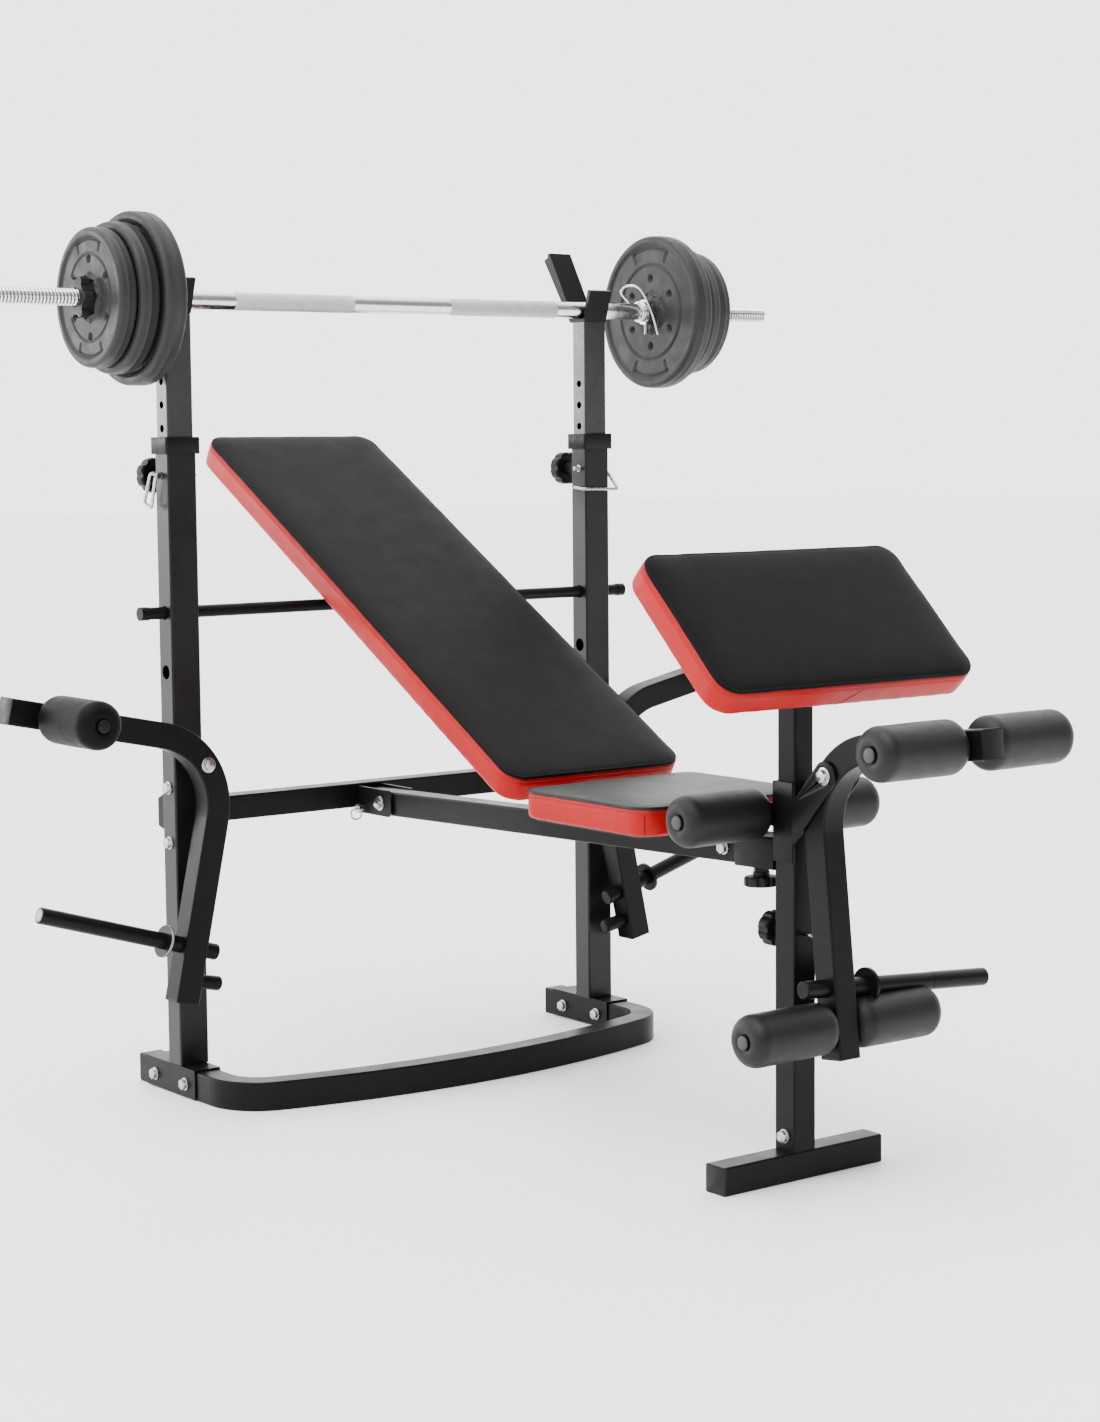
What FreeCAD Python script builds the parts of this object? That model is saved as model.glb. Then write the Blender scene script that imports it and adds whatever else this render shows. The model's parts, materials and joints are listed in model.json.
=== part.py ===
"""Home multi-function weight bench with bar rack, arms, leg lever, preacher pad and barbell.

Millimetres. +X is across the bench, +Y towards the head end, +Z up. The shapes are laid out
with y = 0 in the plane of the two uprights, and every one is moved by ORIGIN_Y on the way
out, so the finished part has its origin under the middle of the base's front crosspiece.
"Left" is -X, seen from the foot end of the bench.
"""
import FreeCAD
import Part
import math
import os

V = FreeCAD.Vector
X_AXIS = V(1, 0, 0)
Y_AXIS = V(0, 1, 0)
Z_AXIS = V(0, 0, 1)

# ---------------------------------------------------------------- driving dimensions
WALL = 2.0                  # wall of every square tube
TUBE_EDGE = 3.0             # outer corner radius of every square tube
SLIDE_GAP = 0.5             # each side, between telescoping tubes
SHAFT_GAP = 0.05            # radial, between a bolt or rod and the hole it turns in
CLEAR = 0.3                 # smallest gap between pieces that move past each other
BOLT_R = 5.0
BOLT_HOLE_R = BOLT_R + SHAFT_GAP
HINGE_BOLT_R = 4.0

POST_X = 405.3              # centre of each upright
POST_W = 50.0               # upright section across the bench
POST_D = 40.0               # upright section along the bench
POST_TOP = 1010.0
COLLAR_Z = (1001.0, 1027.0)

BASE_OUT = 428.0            # outer face of the base's side tubes
BASE_W = 40.0               # base tube's width in plan
BASE_H = 45.0
BASE_REAR = 115.0
BASE_FRONT = -243.0         # foremost point of the bowed crosspiece
BOW_R = 1366.0              # radius of the crosspiece's outer face
CORNER_R = 95.0
SADDLE_T = 3.0
SADDLE_Y = (-62.0, 90.0)
SADDLE_BOLT_Y = (-32.0, 62.0)
SADDLE_BOLT_Z = 22.0

ROD_R = 9.5
ROD_Z = (757.0, 665.0, 573.0)       # holes for the backrest's support rod, in use first
ROD_HALF = 472.0
ROD_HOLE_R = 11.0

MAST_W = POST_W - 2 * (WALL + SLIDE_GAP)
MAST_D = POST_D - 2 * (WALL + SLIDE_GAP)
MAST_BOTTOM = 880.0
MAST_TOP = 1216.0
LOCK_Z = 968.0              # height of the lock pin, and of the rear clamp knob
MAST_PITCH = 36.0
MAST_HOLE_R = 6.0

CROSS_Y = (85.0, 125.0)
CROSS_Z = (410.0, 450.0)
CROSS_BOLT_Z = (398.5, 484.5)

BEAM = 40.0
BEAM_PIVOT = (19.0, 423.0)          # y, z of the beam's rear pivot bolt
BEAM_RISE = math.degrees(math.asin(28.0 / 966.4))   # the beam climbs towards the foot end
PIN_POINT = (70.0, 410.0)           # y, z of the pin that locks the folding joint
CHEEK_X = (21.0, 25.0)              # the cheeks either side of the beam's rear end

FRONT_Y = -967.5            # centre of the front post
FRONT = 40.0
FRONT_TOP = 553.0
FOOT_LEN = 285.0
FOOT_H = 40.0
FOOT_BOLT_Z = 60.0
BEAM_Y = (FRONT_Y + FRONT / 2 + 2.0, 80.0)
BEAM_BOLT_Y = -842.0
BEAM_KNOB_Y = -897.0
SLEEVE_Y = (FRONT_Y + FRONT / 2 + 0.5, -866.0)      # socket for the beam's front end
SLEEVE_WALL = 2.5

SEAT_X = 165.0
SEAT_Y = (-841.0, -551.0)
SEAT_Z = (470.0, 517.0)
SEAT_REAR_CORNER = 12.0
PAD_CORNER = 32.0
PAD_EDGE = 4.0              # rolled edge round the top
BOARD_T = 12.0
BOARD_INSET = 13.0

BACK_EDGE = (-539.7, 525.4)         # y, z of the top surface's lower edge
BACK_TILT = 30.3
BACK_LEN = 1002.0
BACK_X = 167.5
BACK_T = 47.5
RAIL_X = (31.0, 56.0)
HINGE_U = 42.0              # hinge axis: distance up the pad from its lower edge

PREACH_MID = (-1002.0, 782.0)
PREACH_TILT = 44.2
PREACH_LEN = 254.0
PREACH_X = 233.5
PREACH_T = 50.0
PREACH_BOTTOM = 200.0       # lower end of the preacher pad's inner tube
PREACH_PLATE_T = 4.0
PREACH_KNOB_Z = 343.0

PLATE_X = (20.5, 24.5)      # the side plates that carry the leg lever
LEVER_PIVOT = (-1050.0, 568.0)
LEVER_W = 38.0
LEVER_TILT = 6.3
BEND_R = 115.0
LEVER_UP = 321.0            # corner of the bend to the end of the roller limb
LEVER_DOWN = 415.0          # corner of the bend to the end of the foot limb
KNEE_AXIS = (-926.0, 506.0)
KNEE_INNER = 26.0           # where the knee rollers start, from the middle plane
LEVER_INNER = LEVER_W / 2 + 2.0
ROLLER_BACK = 42.0          # roller axes, from each end of the lever
LEVER_PEG_BACK = 93.0       # weight peg, from the lever's lower end

ARM_PIVOT_Z = 526.0
ARM_Y = -60.0
ARM_TILT = 12.0
ARM_UP = 340.0
ARM_DOWN = 365.0
ARM_OFFSET = BEND_R * (1 - 1 / math.sqrt(2))        # bolt to the limbs' centre lines
ARM_PEG_DOWN = -282.0
ARM_STUB_DOWN = -334.0
ARM_ROLLER = 272.0          # roller along the upper limb, from the bolt
ARM_ROLLER_GAP = 25.0       # where the foam starts, from the limb's middle
STUB_R = 11.5

FOAM_R = 36.0
FOAM_LEN = 150.0
FOAM_ROD_R = 9.5
FOAM_ROUND = 14.0
CAP_R = 9.0
PEG_R = 12.7
PEG_FLANGE_T = 5.0
LEVER_PEG_R = 12.4          # the lever peg's inner stretch, as far as the foam sleeve's end
LEVER_PEG_FREE_X = 178.0
PEG_FLANGE_R = 25.0
PEG_FLANGE_X = 55.0         # the lever peg's flange, from the middle of the lever
LEVER_PEG_BACK_X = 60.0     # how far it stands out on the other side
LEVER_PEG_X = 285.0
LEVER_PEG_DIP = 4.1         # the outer end lies this many degrees low
ARM_PEG_RISE = 5.0          # the arm pegs' outer ends lie this much high
ARM_PEG_FLANGE = 46.0
ARM_PEG_BACK = 46.0
ARM_PEG_LEN = 268.0
KNOB_R = 25.0
MAST_KNOB_R = 28.0
MAST_KNOB_NECK = 30.0
STUD_R = 5.0
PIN_WIRE_R = 2.7

BAR_R = 14.0
BAR_HALF = 785.0
BAR_OFFSET = 15.0           # the bar lies this far off centre in its crutches
PLATE_START = {-1: 465.0, 1: 523.0}     # inner face of the disc stack on each side
CRUTCH_W = 46.0
CRUTCH_T = 6.0
THREAD_LEN = 235.0
THREAD_CUT = 1.2            # the threaded ends are this much smaller in radius
BAR_Z = MAST_TOP + CRUTCH_T + BAR_R + CLEAR
DISC_SIZES = ((131.0, 36.0), (114.0, 33.0), (105.0, 30.0))      # radius and width, inside first
DISC_GAP = 0.5
STACK_WIDTH = sum(width + DISC_GAP for _, width in DISC_SIZES)

ORIGIN_Y = -(BASE_FRONT + BASE_W / 2)

parts = {}


# ---------------------------------------------------------------- small helpers
def block(x, y, z):
    """Box from three (low, high) pairs."""
    return Part.makeBox(x[1] - x[0], y[1] - y[0], z[1] - z[0], V(x[0], y[0], z[0]))


def cylinder(r, start, axis, length):
    """Solid cylinder growing from start along axis."""
    return Part.makeCylinder(r, length, V(*start), axis)


def ring(r_out, r_in, start, axis, length):
    """Cylinder with a round bore right through."""
    return cylinder(r_out, start, axis, length).cut(cylinder(r_in, start, axis, length))


def rounded_bar(x, y, z, axis, radius=TUBE_EDGE):
    """Box whose four edges along axis 0, 1 or 2 are rounded."""
    body = block(x, y, z)
    along = (X_AXIS, Y_AXIS, Z_AXIS)[axis]
    edges = [e for e in body.Edges if abs(e.tangentAt(e.FirstParameter).dot(along)) > 0.9]
    return body.makeFillet(radius, edges)


def square_tube(x, y, z, axis, wall=WALL):
    """Square tube with rounded corners, open at both ends along axis 0, 1 or 2."""
    inner = [(x[0] + wall, x[1] - wall), (y[0] + wall, y[1] - wall), (z[0] + wall, z[1] - wall)]
    inner[axis] = (x, y, z)[axis]
    return rounded_bar(x, y, z, axis).cut(rounded_bar(*inner, axis, TUBE_EDGE - wall))


def prism(points, plane, span):
    """Polygon extruded square to its plane; plane 'yz' spans X, 'xz' spans Y, 'xy' spans Z."""
    place = {"yz": lambda a, b: V(span[0], a, b),
             "xz": lambda a, b: V(a, span[0], b),
             "xy": lambda a, b: V(a, b, span[0])}[plane]
    along = {"yz": X_AXIS, "xz": Y_AXIS, "xy": Z_AXIS}[plane]
    wire = Part.makePolygon([place(a, b) for a, b in points + [points[0]]])
    return Part.Face(wire).extrude(along * (span[1] - span[0]))


def turned(shape, at, axis, degrees):
    """Copy turned about an axis through a point."""
    copy = shape.copy()
    copy.rotate(V(*at), axis, degrees)
    return copy


def moved(shape, x=0.0, y=0.0, z=0.0):
    """Copy shifted by x, y and z."""
    copy = shape.copy()
    copy.translate(V(x, y, z))
    return copy


def mirrored(shape):
    """The same piece on the other side of the bench."""
    return shape.mirror(V(0, 0, 0), X_AXIS)


def fused(*shapes):
    """One solid from shapes that meet."""
    whole = shapes[0].fuse(list(shapes[1:]))
    return whole.removeSplitter()


def group(*shapes):
    """Several separate solids in one node."""
    return Part.makeCompound([solid for shape in shapes for solid in shape.Solids])


def hexagon(across, start, axis, length):
    """Hexagonal prism, across the flats, growing from start along axis."""
    r = across / math.sqrt(3)
    corners = [V(r * math.cos(math.radians(60 * k)), r * math.sin(math.radians(60 * k)), 0)
               for k in range(7)]
    body = Part.Face(Part.makePolygon(corners)).extrude(V(0, 0, length))
    body.Placement = FreeCAD.Placement(V(*start), FreeCAD.Rotation(Z_AXIS, axis))
    return body


def bolt(start, axis, grip, r=BOLT_R, washer_r=10.0):
    """Hex bolt: start is under the head, and axis runs from the head to the nut."""
    at = V(*start)
    back = axis * -1
    head = hexagon(15.0, at + back * 1.5, back, 6.0)
    washer = cylinder(washer_r, at, back, 1.5)
    shank = cylinder(r, at, axis, grip + 12.0)
    nut = hexagon(15.0, at + axis * grip, axis, 8.0)
    return fused(head, washer, shank, nut)


def turned_vector(vector, axis, degrees):
    """Copy of a vector turned about an axis."""
    return FreeCAD.Rotation(axis, degrees).multVec(vector)


def in_pad_frame(shape, edge, tilt):
    """Move a shape from a pad's frame (x across, y up the slope, z off the top) into place."""
    return moved(turned(shape, (0, 0, 0), X_AXIS, tilt), 0, edge[0], edge[1])


def round_block(x, y, z, radius, rear=None):
    """Box with rounded vertical corners, which may be sharper at its high-y end."""
    body = block(x, y, z)
    for limit, r in ((y[0], radius), (y[1], rear or radius)):
        edges = [e for e in body.Edges if abs(e.tangentAt(e.FirstParameter).z) > 0.9
                 and abs(e.Vertexes[0].Y - limit) < 1e-6]
        body = body.makeFillet(r, edges)
    return body


def long_edges(shape, z):
    """Edges of an extruded outline that lie at height z, without those across its ends."""
    flat = [e for e in shape.Edges if all(abs(v.Z - z) < 1e-6 for v in e.Vertexes)]
    shortest = sorted(flat, key=lambda e: e.Length)[:2]
    return [e for e in flat if not any(e.isSame(s) for s in shortest)]


# ---------------------------------------------------------------- bent tubes
def bend_frame(p0, corner, p1, radius):
    """Tangent points, arc centre and limb directions of a round bend at a corner."""
    d0 = (corner - p0).normalize()
    d1 = (p1 - corner).normalize()
    turn = d0.getAngle(d1)
    reach = radius * math.tan(turn / 2)
    start = corner - d0 * reach
    end = corner + d1 * reach
    side = V(-d0.y, d0.x, 0)
    if side.dot(d1) < 0:
        side = side * -1
    centre = start + side * radius
    return d0, d1, start, end, centre


def bent_band(p0, corner, p1, radius, half, stretch=0.0):
    """Flat band of a bent tube in the XY plane; stretch lengthens both ends."""
    d0, d1, start, end, centre = bend_frame(p0, corner, p1, radius)
    p0 = p0 - d0 * stretch
    p1 = p1 + d1 * stretch
    out0 = (start - centre).normalize()
    out1 = (end - centre).normalize()
    out_mid = (out0 + out1).normalize()

    def arc(offset):
        """Arc of the bend, offset from the centre line."""
        r = radius + offset
        return Part.Arc(centre + out0 * r, centre + out_mid * r, centre + out1 * r).toShape()

    def line(a, b):
        """Straight edge."""
        return Part.LineSegment(a, b).toShape()

    edges = [line(p0 + out0 * half, start + out0 * half), arc(half),
             line(end + out1 * half, p1 + out1 * half),
             line(p1 + out1 * half, p1 - out1 * half),
             line(p1 - out1 * half, end - out1 * half), arc(-half),
             line(start - out0 * half, p0 - out0 * half),
             line(p0 - out0 * half, p0 + out0 * half)]
    return Part.Face(Part.Wire(Part.__sortEdges__(edges)))


def bent_tube(p0, corner, p1, depth, height):
    """Hollow bent tube in the XY plane, height wide and depth thick about z = 0."""
    skin = bent_band(p0, corner, p1, BEND_R, height / 2)
    hollow = bent_band(p0, corner, p1, BEND_R, height / 2 - WALL, stretch=1.0)
    outer = skin.extrude(V(0, 0, depth))
    outer = outer.makeFillet(TUBE_EDGE, long_edges(outer, 0) + long_edges(outer, depth))
    outer = moved(outer, z=-depth / 2)
    inner = moved(hollow.extrude(V(0, 0, depth - 2 * WALL)), z=WALL - depth / 2)
    return outer.cut(inner)


# ---------------------------------------------------------------- base
def base_band(inset):
    """Outline of the U base, moved inwards by inset from its outer face."""
    side = BASE_OUT - inset
    bow = BOW_R - inset
    corner = CORNER_R - inset
    bow_y = BASE_FRONT + BOW_R
    across = side - corner
    corner_y = bow_y - math.sqrt((bow - corner) ** 2 - across ** 2)
    lean = math.asin(across / (bow - corner))
    mid = (math.pi / 2 + lean) / 2
    return {"side": side, "bow": bow, "corner": corner, "bow_y": bow_y, "across": across,
            "corner_y": corner_y, "lean": lean, "mid": mid}


def base_edges(inset, rear):
    """Line and arcs of the U at one inset, and its two open ends."""
    b = base_band(inset)
    on_bow = [V(s * b["bow"] * math.sin(b["lean"]), b["bow_y"] - b["bow"] * math.cos(b["lean"]), 0)
              for s in (-1, 1)]
    on_side = [V(s * b["side"], b["corner_y"], 0) for s in (-1, 1)]
    on_corner = [V(s * (b["across"] + b["corner"] * math.sin(b["mid"])),
                   b["corner_y"] - b["corner"] * math.cos(b["mid"]), 0) for s in (-1, 1)]
    front = V(0, b["bow_y"] - b["bow"], 0)
    ends = [V(s * b["side"], rear, 0) for s in (-1, 1)]
    edges = [Part.LineSegment(ends[0], on_side[0]).toShape(),
             Part.Arc(on_side[0], on_corner[0], on_bow[0]).toShape(),
             Part.Arc(on_bow[0], front, on_bow[1]).toShape(),
             Part.Arc(on_bow[1], on_corner[1], on_side[1]).toShape(),
             Part.LineSegment(on_side[1], ends[1]).toShape()]
    return edges, ends


def base_face(inset_out, inset_in, rear):
    """Face between two insets of the U."""
    outer, outer_ends = base_edges(inset_out, rear)
    inner, inner_ends = base_edges(inset_in, rear)
    caps = [Part.LineSegment(a, b).toShape() for a, b in zip(outer_ends, inner_ends)]
    return Part.Face(Part.Wire(Part.__sortEdges__(outer + inner + caps)))


def base_u_tube():
    """Flat-laid U: straight sides, round corners and a slightly bowed front."""
    outer = base_face(0, BASE_W, BASE_REAR).extrude(V(0, 0, BASE_H))
    outer = outer.makeFillet(TUBE_EDGE, long_edges(outer, 0) + long_edges(outer, BASE_H))
    inner = base_face(WALL, BASE_W - WALL, BASE_REAR + 1).extrude(V(0, 0, BASE_H - 2 * WALL))
    tube = outer.cut(moved(inner, z=WALL))
    for s in (-1, 1):
        for y in SADDLE_BOLT_Y:
            tube = tube.cut(cylinder(BOLT_HOLE_R, (s * BASE_OUT - 60, y, SADDLE_BOLT_Z), X_AXIS, 120))
    return tube


def end_cap(x, y, z, axis, side):
    """Plastic end cap on a tube along axis, at its high end if side is positive."""
    spans = [x, y, z]
    low, high = spans[axis]
    at = high if side > 0 else low
    plate = list(spans)
    plug = [(a + WALL + 0.1, b - WALL - 0.1) for a, b in spans]
    plate[axis] = (at, at + 3.0) if side > 0 else (at - 3.0, at)
    plug[axis] = (at - 12.0, at) if side > 0 else (at, at + 12.0)
    return fused(rounded_bar(*plate, axis), rounded_bar(*plug, axis, TUBE_EDGE - WALL + 0.2))


def base_end_caps():
    """Caps in the two open rear ends of the U."""
    caps = []
    for s in (-1, 1):
        x = sorted((s * BASE_OUT, s * (BASE_OUT - BASE_W)))
        caps.append(end_cap(x, (0, BASE_REAR), (0, BASE_H), 1, 1))
    return group(*caps)


def left_saddle():
    """Inverted U of plate that the upright is welded to, bolted over the base tube."""
    x = (-BASE_OUT - SADDLE_T, -BASE_OUT + BASE_W + SADDLE_T)
    shell = block(x, SADDLE_Y, (2.0, BASE_H + SADDLE_T))
    shell = shell.cut(block((-BASE_OUT, -BASE_OUT + BASE_W), SADDLE_Y, (0, BASE_H)))
    for y in SADDLE_BOLT_Y:
        shell = shell.cut(cylinder(BOLT_HOLE_R, (x[0] - 5, y, SADDLE_BOLT_Z), X_AXIS, 60))
    return shell


def base_bolts():
    """Two bolts through each saddle and side tube."""
    grip = BASE_W + 2 * SADDLE_T
    left = [bolt((-BASE_OUT - SADDLE_T, y, SADDLE_BOLT_Z), X_AXIS, grip) for y in SADDLE_BOLT_Y]
    right = [bolt((BASE_OUT - BASE_W - SADDLE_T, y, SADDLE_BOLT_Z), X_AXIS, grip)
             for y in SADDLE_BOLT_Y]
    return group(*left, *right)


# ---------------------------------------------------------------- uprights and masts
def left_upright():
    """Outer tube of the rack, with holes for bolts, pin, clamp stud and support rod."""
    x = (-POST_X - POST_W / 2, -POST_X + POST_W / 2)
    y = (-POST_D / 2, POST_D / 2)
    tube = square_tube(x, y, (BASE_H + SADDLE_T, POST_TOP), 2)
    for z in ROD_Z:
        tube = tube.cut(cylinder(ROD_HOLE_R, (x[0] - 5, 0, z), X_AXIS, POST_W + 10))
    for z in CROSS_BOLT_Z:
        tube = tube.cut(cylinder(BOLT_HOLE_R, (x[0] - 5, 0, z), X_AXIS, POST_W + 10))
    tube = tube.cut(cylinder(MAST_HOLE_R, (x[0] - 5, 0, LOCK_Z), X_AXIS, POST_W + 10))
    tube = tube.cut(cylinder(STUD_R + 1, (-POST_X, 0, LOCK_Z), Y_AXIS, POST_D))
    tube = tube.cut(cylinder(BOLT_HOLE_R, (-POST_X, -POST_D, ARM_PIVOT_Z), Y_AXIS, 2 * POST_D))
    return tube


def left_pin_tip():
    """Stud in the inner face's hole, in line with the lock pin."""
    face = -POST_X + POST_W / 2
    plug = cylinder(MAST_HOLE_R, (face - WALL, 0, LOCK_Z), X_AXIS, WALL)
    return fused(plug, cylinder(3.5, (face, 0, LOCK_Z), X_AXIS, 9.0))


def left_collar():
    """Plastic guide collar on the upright's mouth."""
    x = (-POST_X - 30, -POST_X + 30)
    y = (-25.0, 25.0)
    body = round_block(x, y, COLLAR_Z, 4.0)
    seat = block((-POST_X - POST_W / 2, -POST_X + POST_W / 2), (-POST_D / 2, POST_D / 2), (980, POST_TOP))
    half_w = MAST_W / 2 + 0.7
    half_d = MAST_D / 2 + 0.7
    bore = block((-POST_X - half_w, -POST_X + half_w), (-half_d, half_d), (980, 1040))
    return body.cut(fused(seat, bore))


def left_mast():
    """Inner tube with its row of height holes."""
    x = (-POST_X - MAST_W / 2, -POST_X + MAST_W / 2)
    y = (-MAST_D / 2, MAST_D / 2)
    tube = square_tube(x, y, (MAST_BOTTOM, MAST_TOP), 2)
    for k in range(-2, 5):
        z = LOCK_Z + k * MAST_PITCH
        tube = tube.cut(cylinder(MAST_HOLE_R, (x[0] - 5, 0, z), X_AXIS, MAST_W + 10))
    return tube


def left_crutch():
    """Bar holder: a folded channel with a tall rear fin and a short front lip."""
    base = MAST_TOP
    floor_half = 17.0
    fin_foot = (floor_half, base)
    fin_tip = (86.0, 1334.0)
    lip_foot = (-floor_half, base)
    lip_tip = (-34.0, 1268.0)
    t = CRUTCH_T
    outline = [lip_foot, fin_foot, fin_tip, (fin_tip[0] - 5.5, fin_tip[1] + 3.0),
               (floor_half - 2.5, base + t), (-floor_half + 3.0, base + t),
               (lip_tip[0] + 7.5, lip_tip[1] + 2.0), lip_tip]
    half = CRUTCH_W / 2
    span = (-POST_X - half, -POST_X + half)
    body = prism(outline, "yz", span)
    web = [(floor_half - 2, base), (fin_tip[0] - 3, fin_tip[1] - 3),
           (fin_tip[0] + 9, fin_tip[1] - 9), (floor_half + 6, base)]
    for x in ((span[0], span[0] + 3.0), (span[1] - 3.0, span[1])):
        body = body.fuse(prism(web, "yz", x))
    return body.removeSplitter()


def knob(at, axis, stud_length, boss=13.0, radius=KNOB_R, thick=20.0):
    """Fluted clamp knob. at is where the stud leaves the nut; the knob stands along axis."""
    at = V(*at)
    neck = cylinder(12.0, at + axis * CLEAR, axis, boss)
    head = cylinder(radius, at + axis * (CLEAR + boss), axis, thick)
    rim = [e for e in head.Edges if isinstance(e.Curve, Part.Circle)]
    head = head.makeFillet(4.0, rim)
    body = fused(neck, head)
    frame = FreeCAD.Rotation(Z_AXIS, axis)
    for k in range(8):
        swing = math.radians(45 * k)
        place = at + frame.multVec(V(math.cos(swing), math.sin(swing), 0) * (radius + 4.0))
        body = body.cut(cylinder(7.0, place, axis, 60.0))
    return fused(body, cylinder(STUD_R, at + axis * 5.0, axis * -1, stud_length + 5.0))


def weld_nut(at, axis):
    """Threaded nut welded where a knob screws in."""
    return hexagon(20.0, at, axis, 8.0).cut(cylinder(STUD_R + SHAFT_GAP, at, axis, 8.0))


def mast_knob(side):
    """Rear knob that presses on the mast."""
    face = POST_D / 2
    stud = face + 8.0 - (MAST_D / 2 + CLEAR)
    return knob((side * POST_X, face + 8.0, LOCK_Z), Y_AXIS, stud, boss=MAST_KNOB_NECK, radius=MAST_KNOB_R)


def wire(points, r, bend):
    """Round wire through the points, with rounded corners."""
    pts = [V(*p) for p in points]
    edges = []
    last = pts[0]
    for before, corner, after in zip(pts, pts[1:], pts[2:]):
        d0 = (corner - before).normalize()
        d1 = (after - corner).normalize()
        turn = d0.getAngle(d1)
        reach = bend * math.tan(turn / 2)
        start = corner - d0 * reach
        end = corner + d1 * reach
        inward = (d1 - d0).normalize()
        centre = corner + inward * (bend / math.cos(turn / 2))
        mid = centre - inward * bend
        edges.append(Part.LineSegment(last, start).toShape())
        edges.append(Part.Arc(start, mid, end).toShape())
        last = end
    edges.append(Part.LineSegment(last, pts[-1]).toShape())
    path = Part.Wire(edges)
    first = edges[0].tangentAt(edges[0].FirstParameter)
    profile = Part.Wire(Part.Circle(pts[0], first, r).toShape())
    return path.makePipeShell([profile], True, False)


def pin_shank(side):
    """Pin from the head on the upright's outer face to just short of the mast."""
    ends = (side * (POST_X + MAST_W / 2 + CLEAR), side * (POST_X + POST_W / 2 + 9.0))
    return cylinder(BOLT_R, (min(ends), 0, LOCK_Z), X_AXIS, abs(ends[1] - ends[0]))


def left_lock_pin():
    """Lock pin whose wire loop hangs against the outer face."""
    out = -POST_X - POST_W / 2
    hang = out - 14.0
    loop = wire([(out - 6.0, -3.0, LOCK_Z), (hang, -7.0, LOCK_Z), (hang, 9.0, LOCK_Z - 50.0),
                 (hang, 31.0, LOCK_Z - 42.0), (hang, 8.0, LOCK_Z + 5.0), (out - 6.0, 3.0, LOCK_Z + 1.0)],
                PIN_WIRE_R, 4.5)
    return fused(pin_shank(-1), loop)


def right_lock_pin():
    """Lock pin whose wire bail crosses the front face and hooks round the inner face."""
    out = POST_X + POST_W / 2
    inn = POST_X - POST_W / 2
    front = -POST_D / 2 - 4.5
    hang = LOCK_Z - 36.0
    bail = wire([(out + 6.0, 0, LOCK_Z), (out + 14.0, -6.0, LOCK_Z - 14.0), (out + 17.0, front, hang),
                 (inn - 6.0, front, hang + 1.0), (inn - 6.0, 4.0, hang + 4.0)], PIN_WIRE_R, 4.5)
    return fused(pin_shank(1), bail)


# ---------------------------------------------------------------- cross member and beam
def cross_member():
    """Square tube behind the uprights, with an end plate against each upright's inner face."""
    inner = POST_X - POST_W / 2
    tube = square_tube((-inner + 4, inner - 4), CROSS_Y, CROSS_Z, 0)
    plate = [(-18.0, 380.0), (18.0, 380.0), (CROSS_Y[1], CROSS_Z[0] - 2), (CROSS_Y[1], CROSS_Z[1] + 2),
             (18.0, 503.0), (-18.0, 503.0)]
    for x in ((-inner, -inner + 4), (inner - 4, inner)):
        tube = tube.fuse(prism(plate, "yz", x))
    for z in CROSS_BOLT_Z:
        for s in (-1, 1):
            tube = tube.cut(cylinder(BOLT_HOLE_R, (s * inner - 10, 0, z), X_AXIS, 20))
    return tube.removeSplitter()


def cross_bolts():
    """Bolts through the uprights and the cross member's end plates."""
    outer = POST_X + POST_W / 2
    grip = POST_W + 4
    made = []
    for z in CROSS_BOLT_Z:
        made.append(bolt((-outer, 0, z), X_AXIS, grip))
        made.append(bolt((outer, 0, z), X_AXIS * -1, grip))
    return group(*made)


def fold_bracket():
    """Two cheeks on the cross member that hold the beam's rear end."""
    outline = [(-13.0, 409.0), (-4.0, 402.0), (CROSS_Y[0], 402.0), (CROSS_Y[0], 446.0), (-4.0, 446.0),
               (-13.0, 438.0)]
    cheek = prism(outline, "yz", CHEEK_X)
    cheek = cheek.cut(cylinder(BOLT_HOLE_R, (0, *BEAM_PIVOT), X_AXIS, 60))
    cheek = cheek.cut(cylinder(BOLT_R + CLEAR, (0, *PIN_POINT), X_AXIS, 60))
    return group(cheek, mirrored(cheek))


def pivot_bolt():
    """Bolt the beam folds about."""
    return bolt((-CHEEK_X[1], *BEAM_PIVOT), X_AXIS, 2 * CHEEK_X[1], washer_r=12.0)


def fold_pin():
    """Lock pin with a pull ring; it is modelled as far as the beam's side."""
    x = -CHEEK_X[1]
    shank = cylinder(BOLT_R, (x - 8.0, *PIN_POINT), X_AXIS, 8.0 + 4.5)
    head = cylinder(8.0, (x - 12.0, *PIN_POINT), X_AXIS, 4.5)
    eye = Part.makeTorus(9.0, 1.5, V(x - 13.5, PIN_POINT[0], PIN_POINT[1] - 9.0), V(0.35, 1, 0))
    return fused(shank, head, eye)


def on_beam(shape):
    """Tilt a level shape about the pivot bolt to the beam's slope."""
    return turned(shape, (0, *BEAM_PIVOT), X_AXIS, -BEAM_RISE)


def main_beam():
    """Square tube from the cross member to the front post."""
    y, z = BEAM_PIVOT
    tube = square_tube((-20, 20), BEAM_Y, (z - 20, z + 20), 1)
    tube = tube.cut(cylinder(BOLT_HOLE_R, (-40, y, z), X_AXIS, 80))
    tube = tube.cut(cylinder(BOLT_HOLE_R, (-40, BEAM_BOLT_Y, z), X_AXIS, 80))
    return on_beam(tube)


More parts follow.
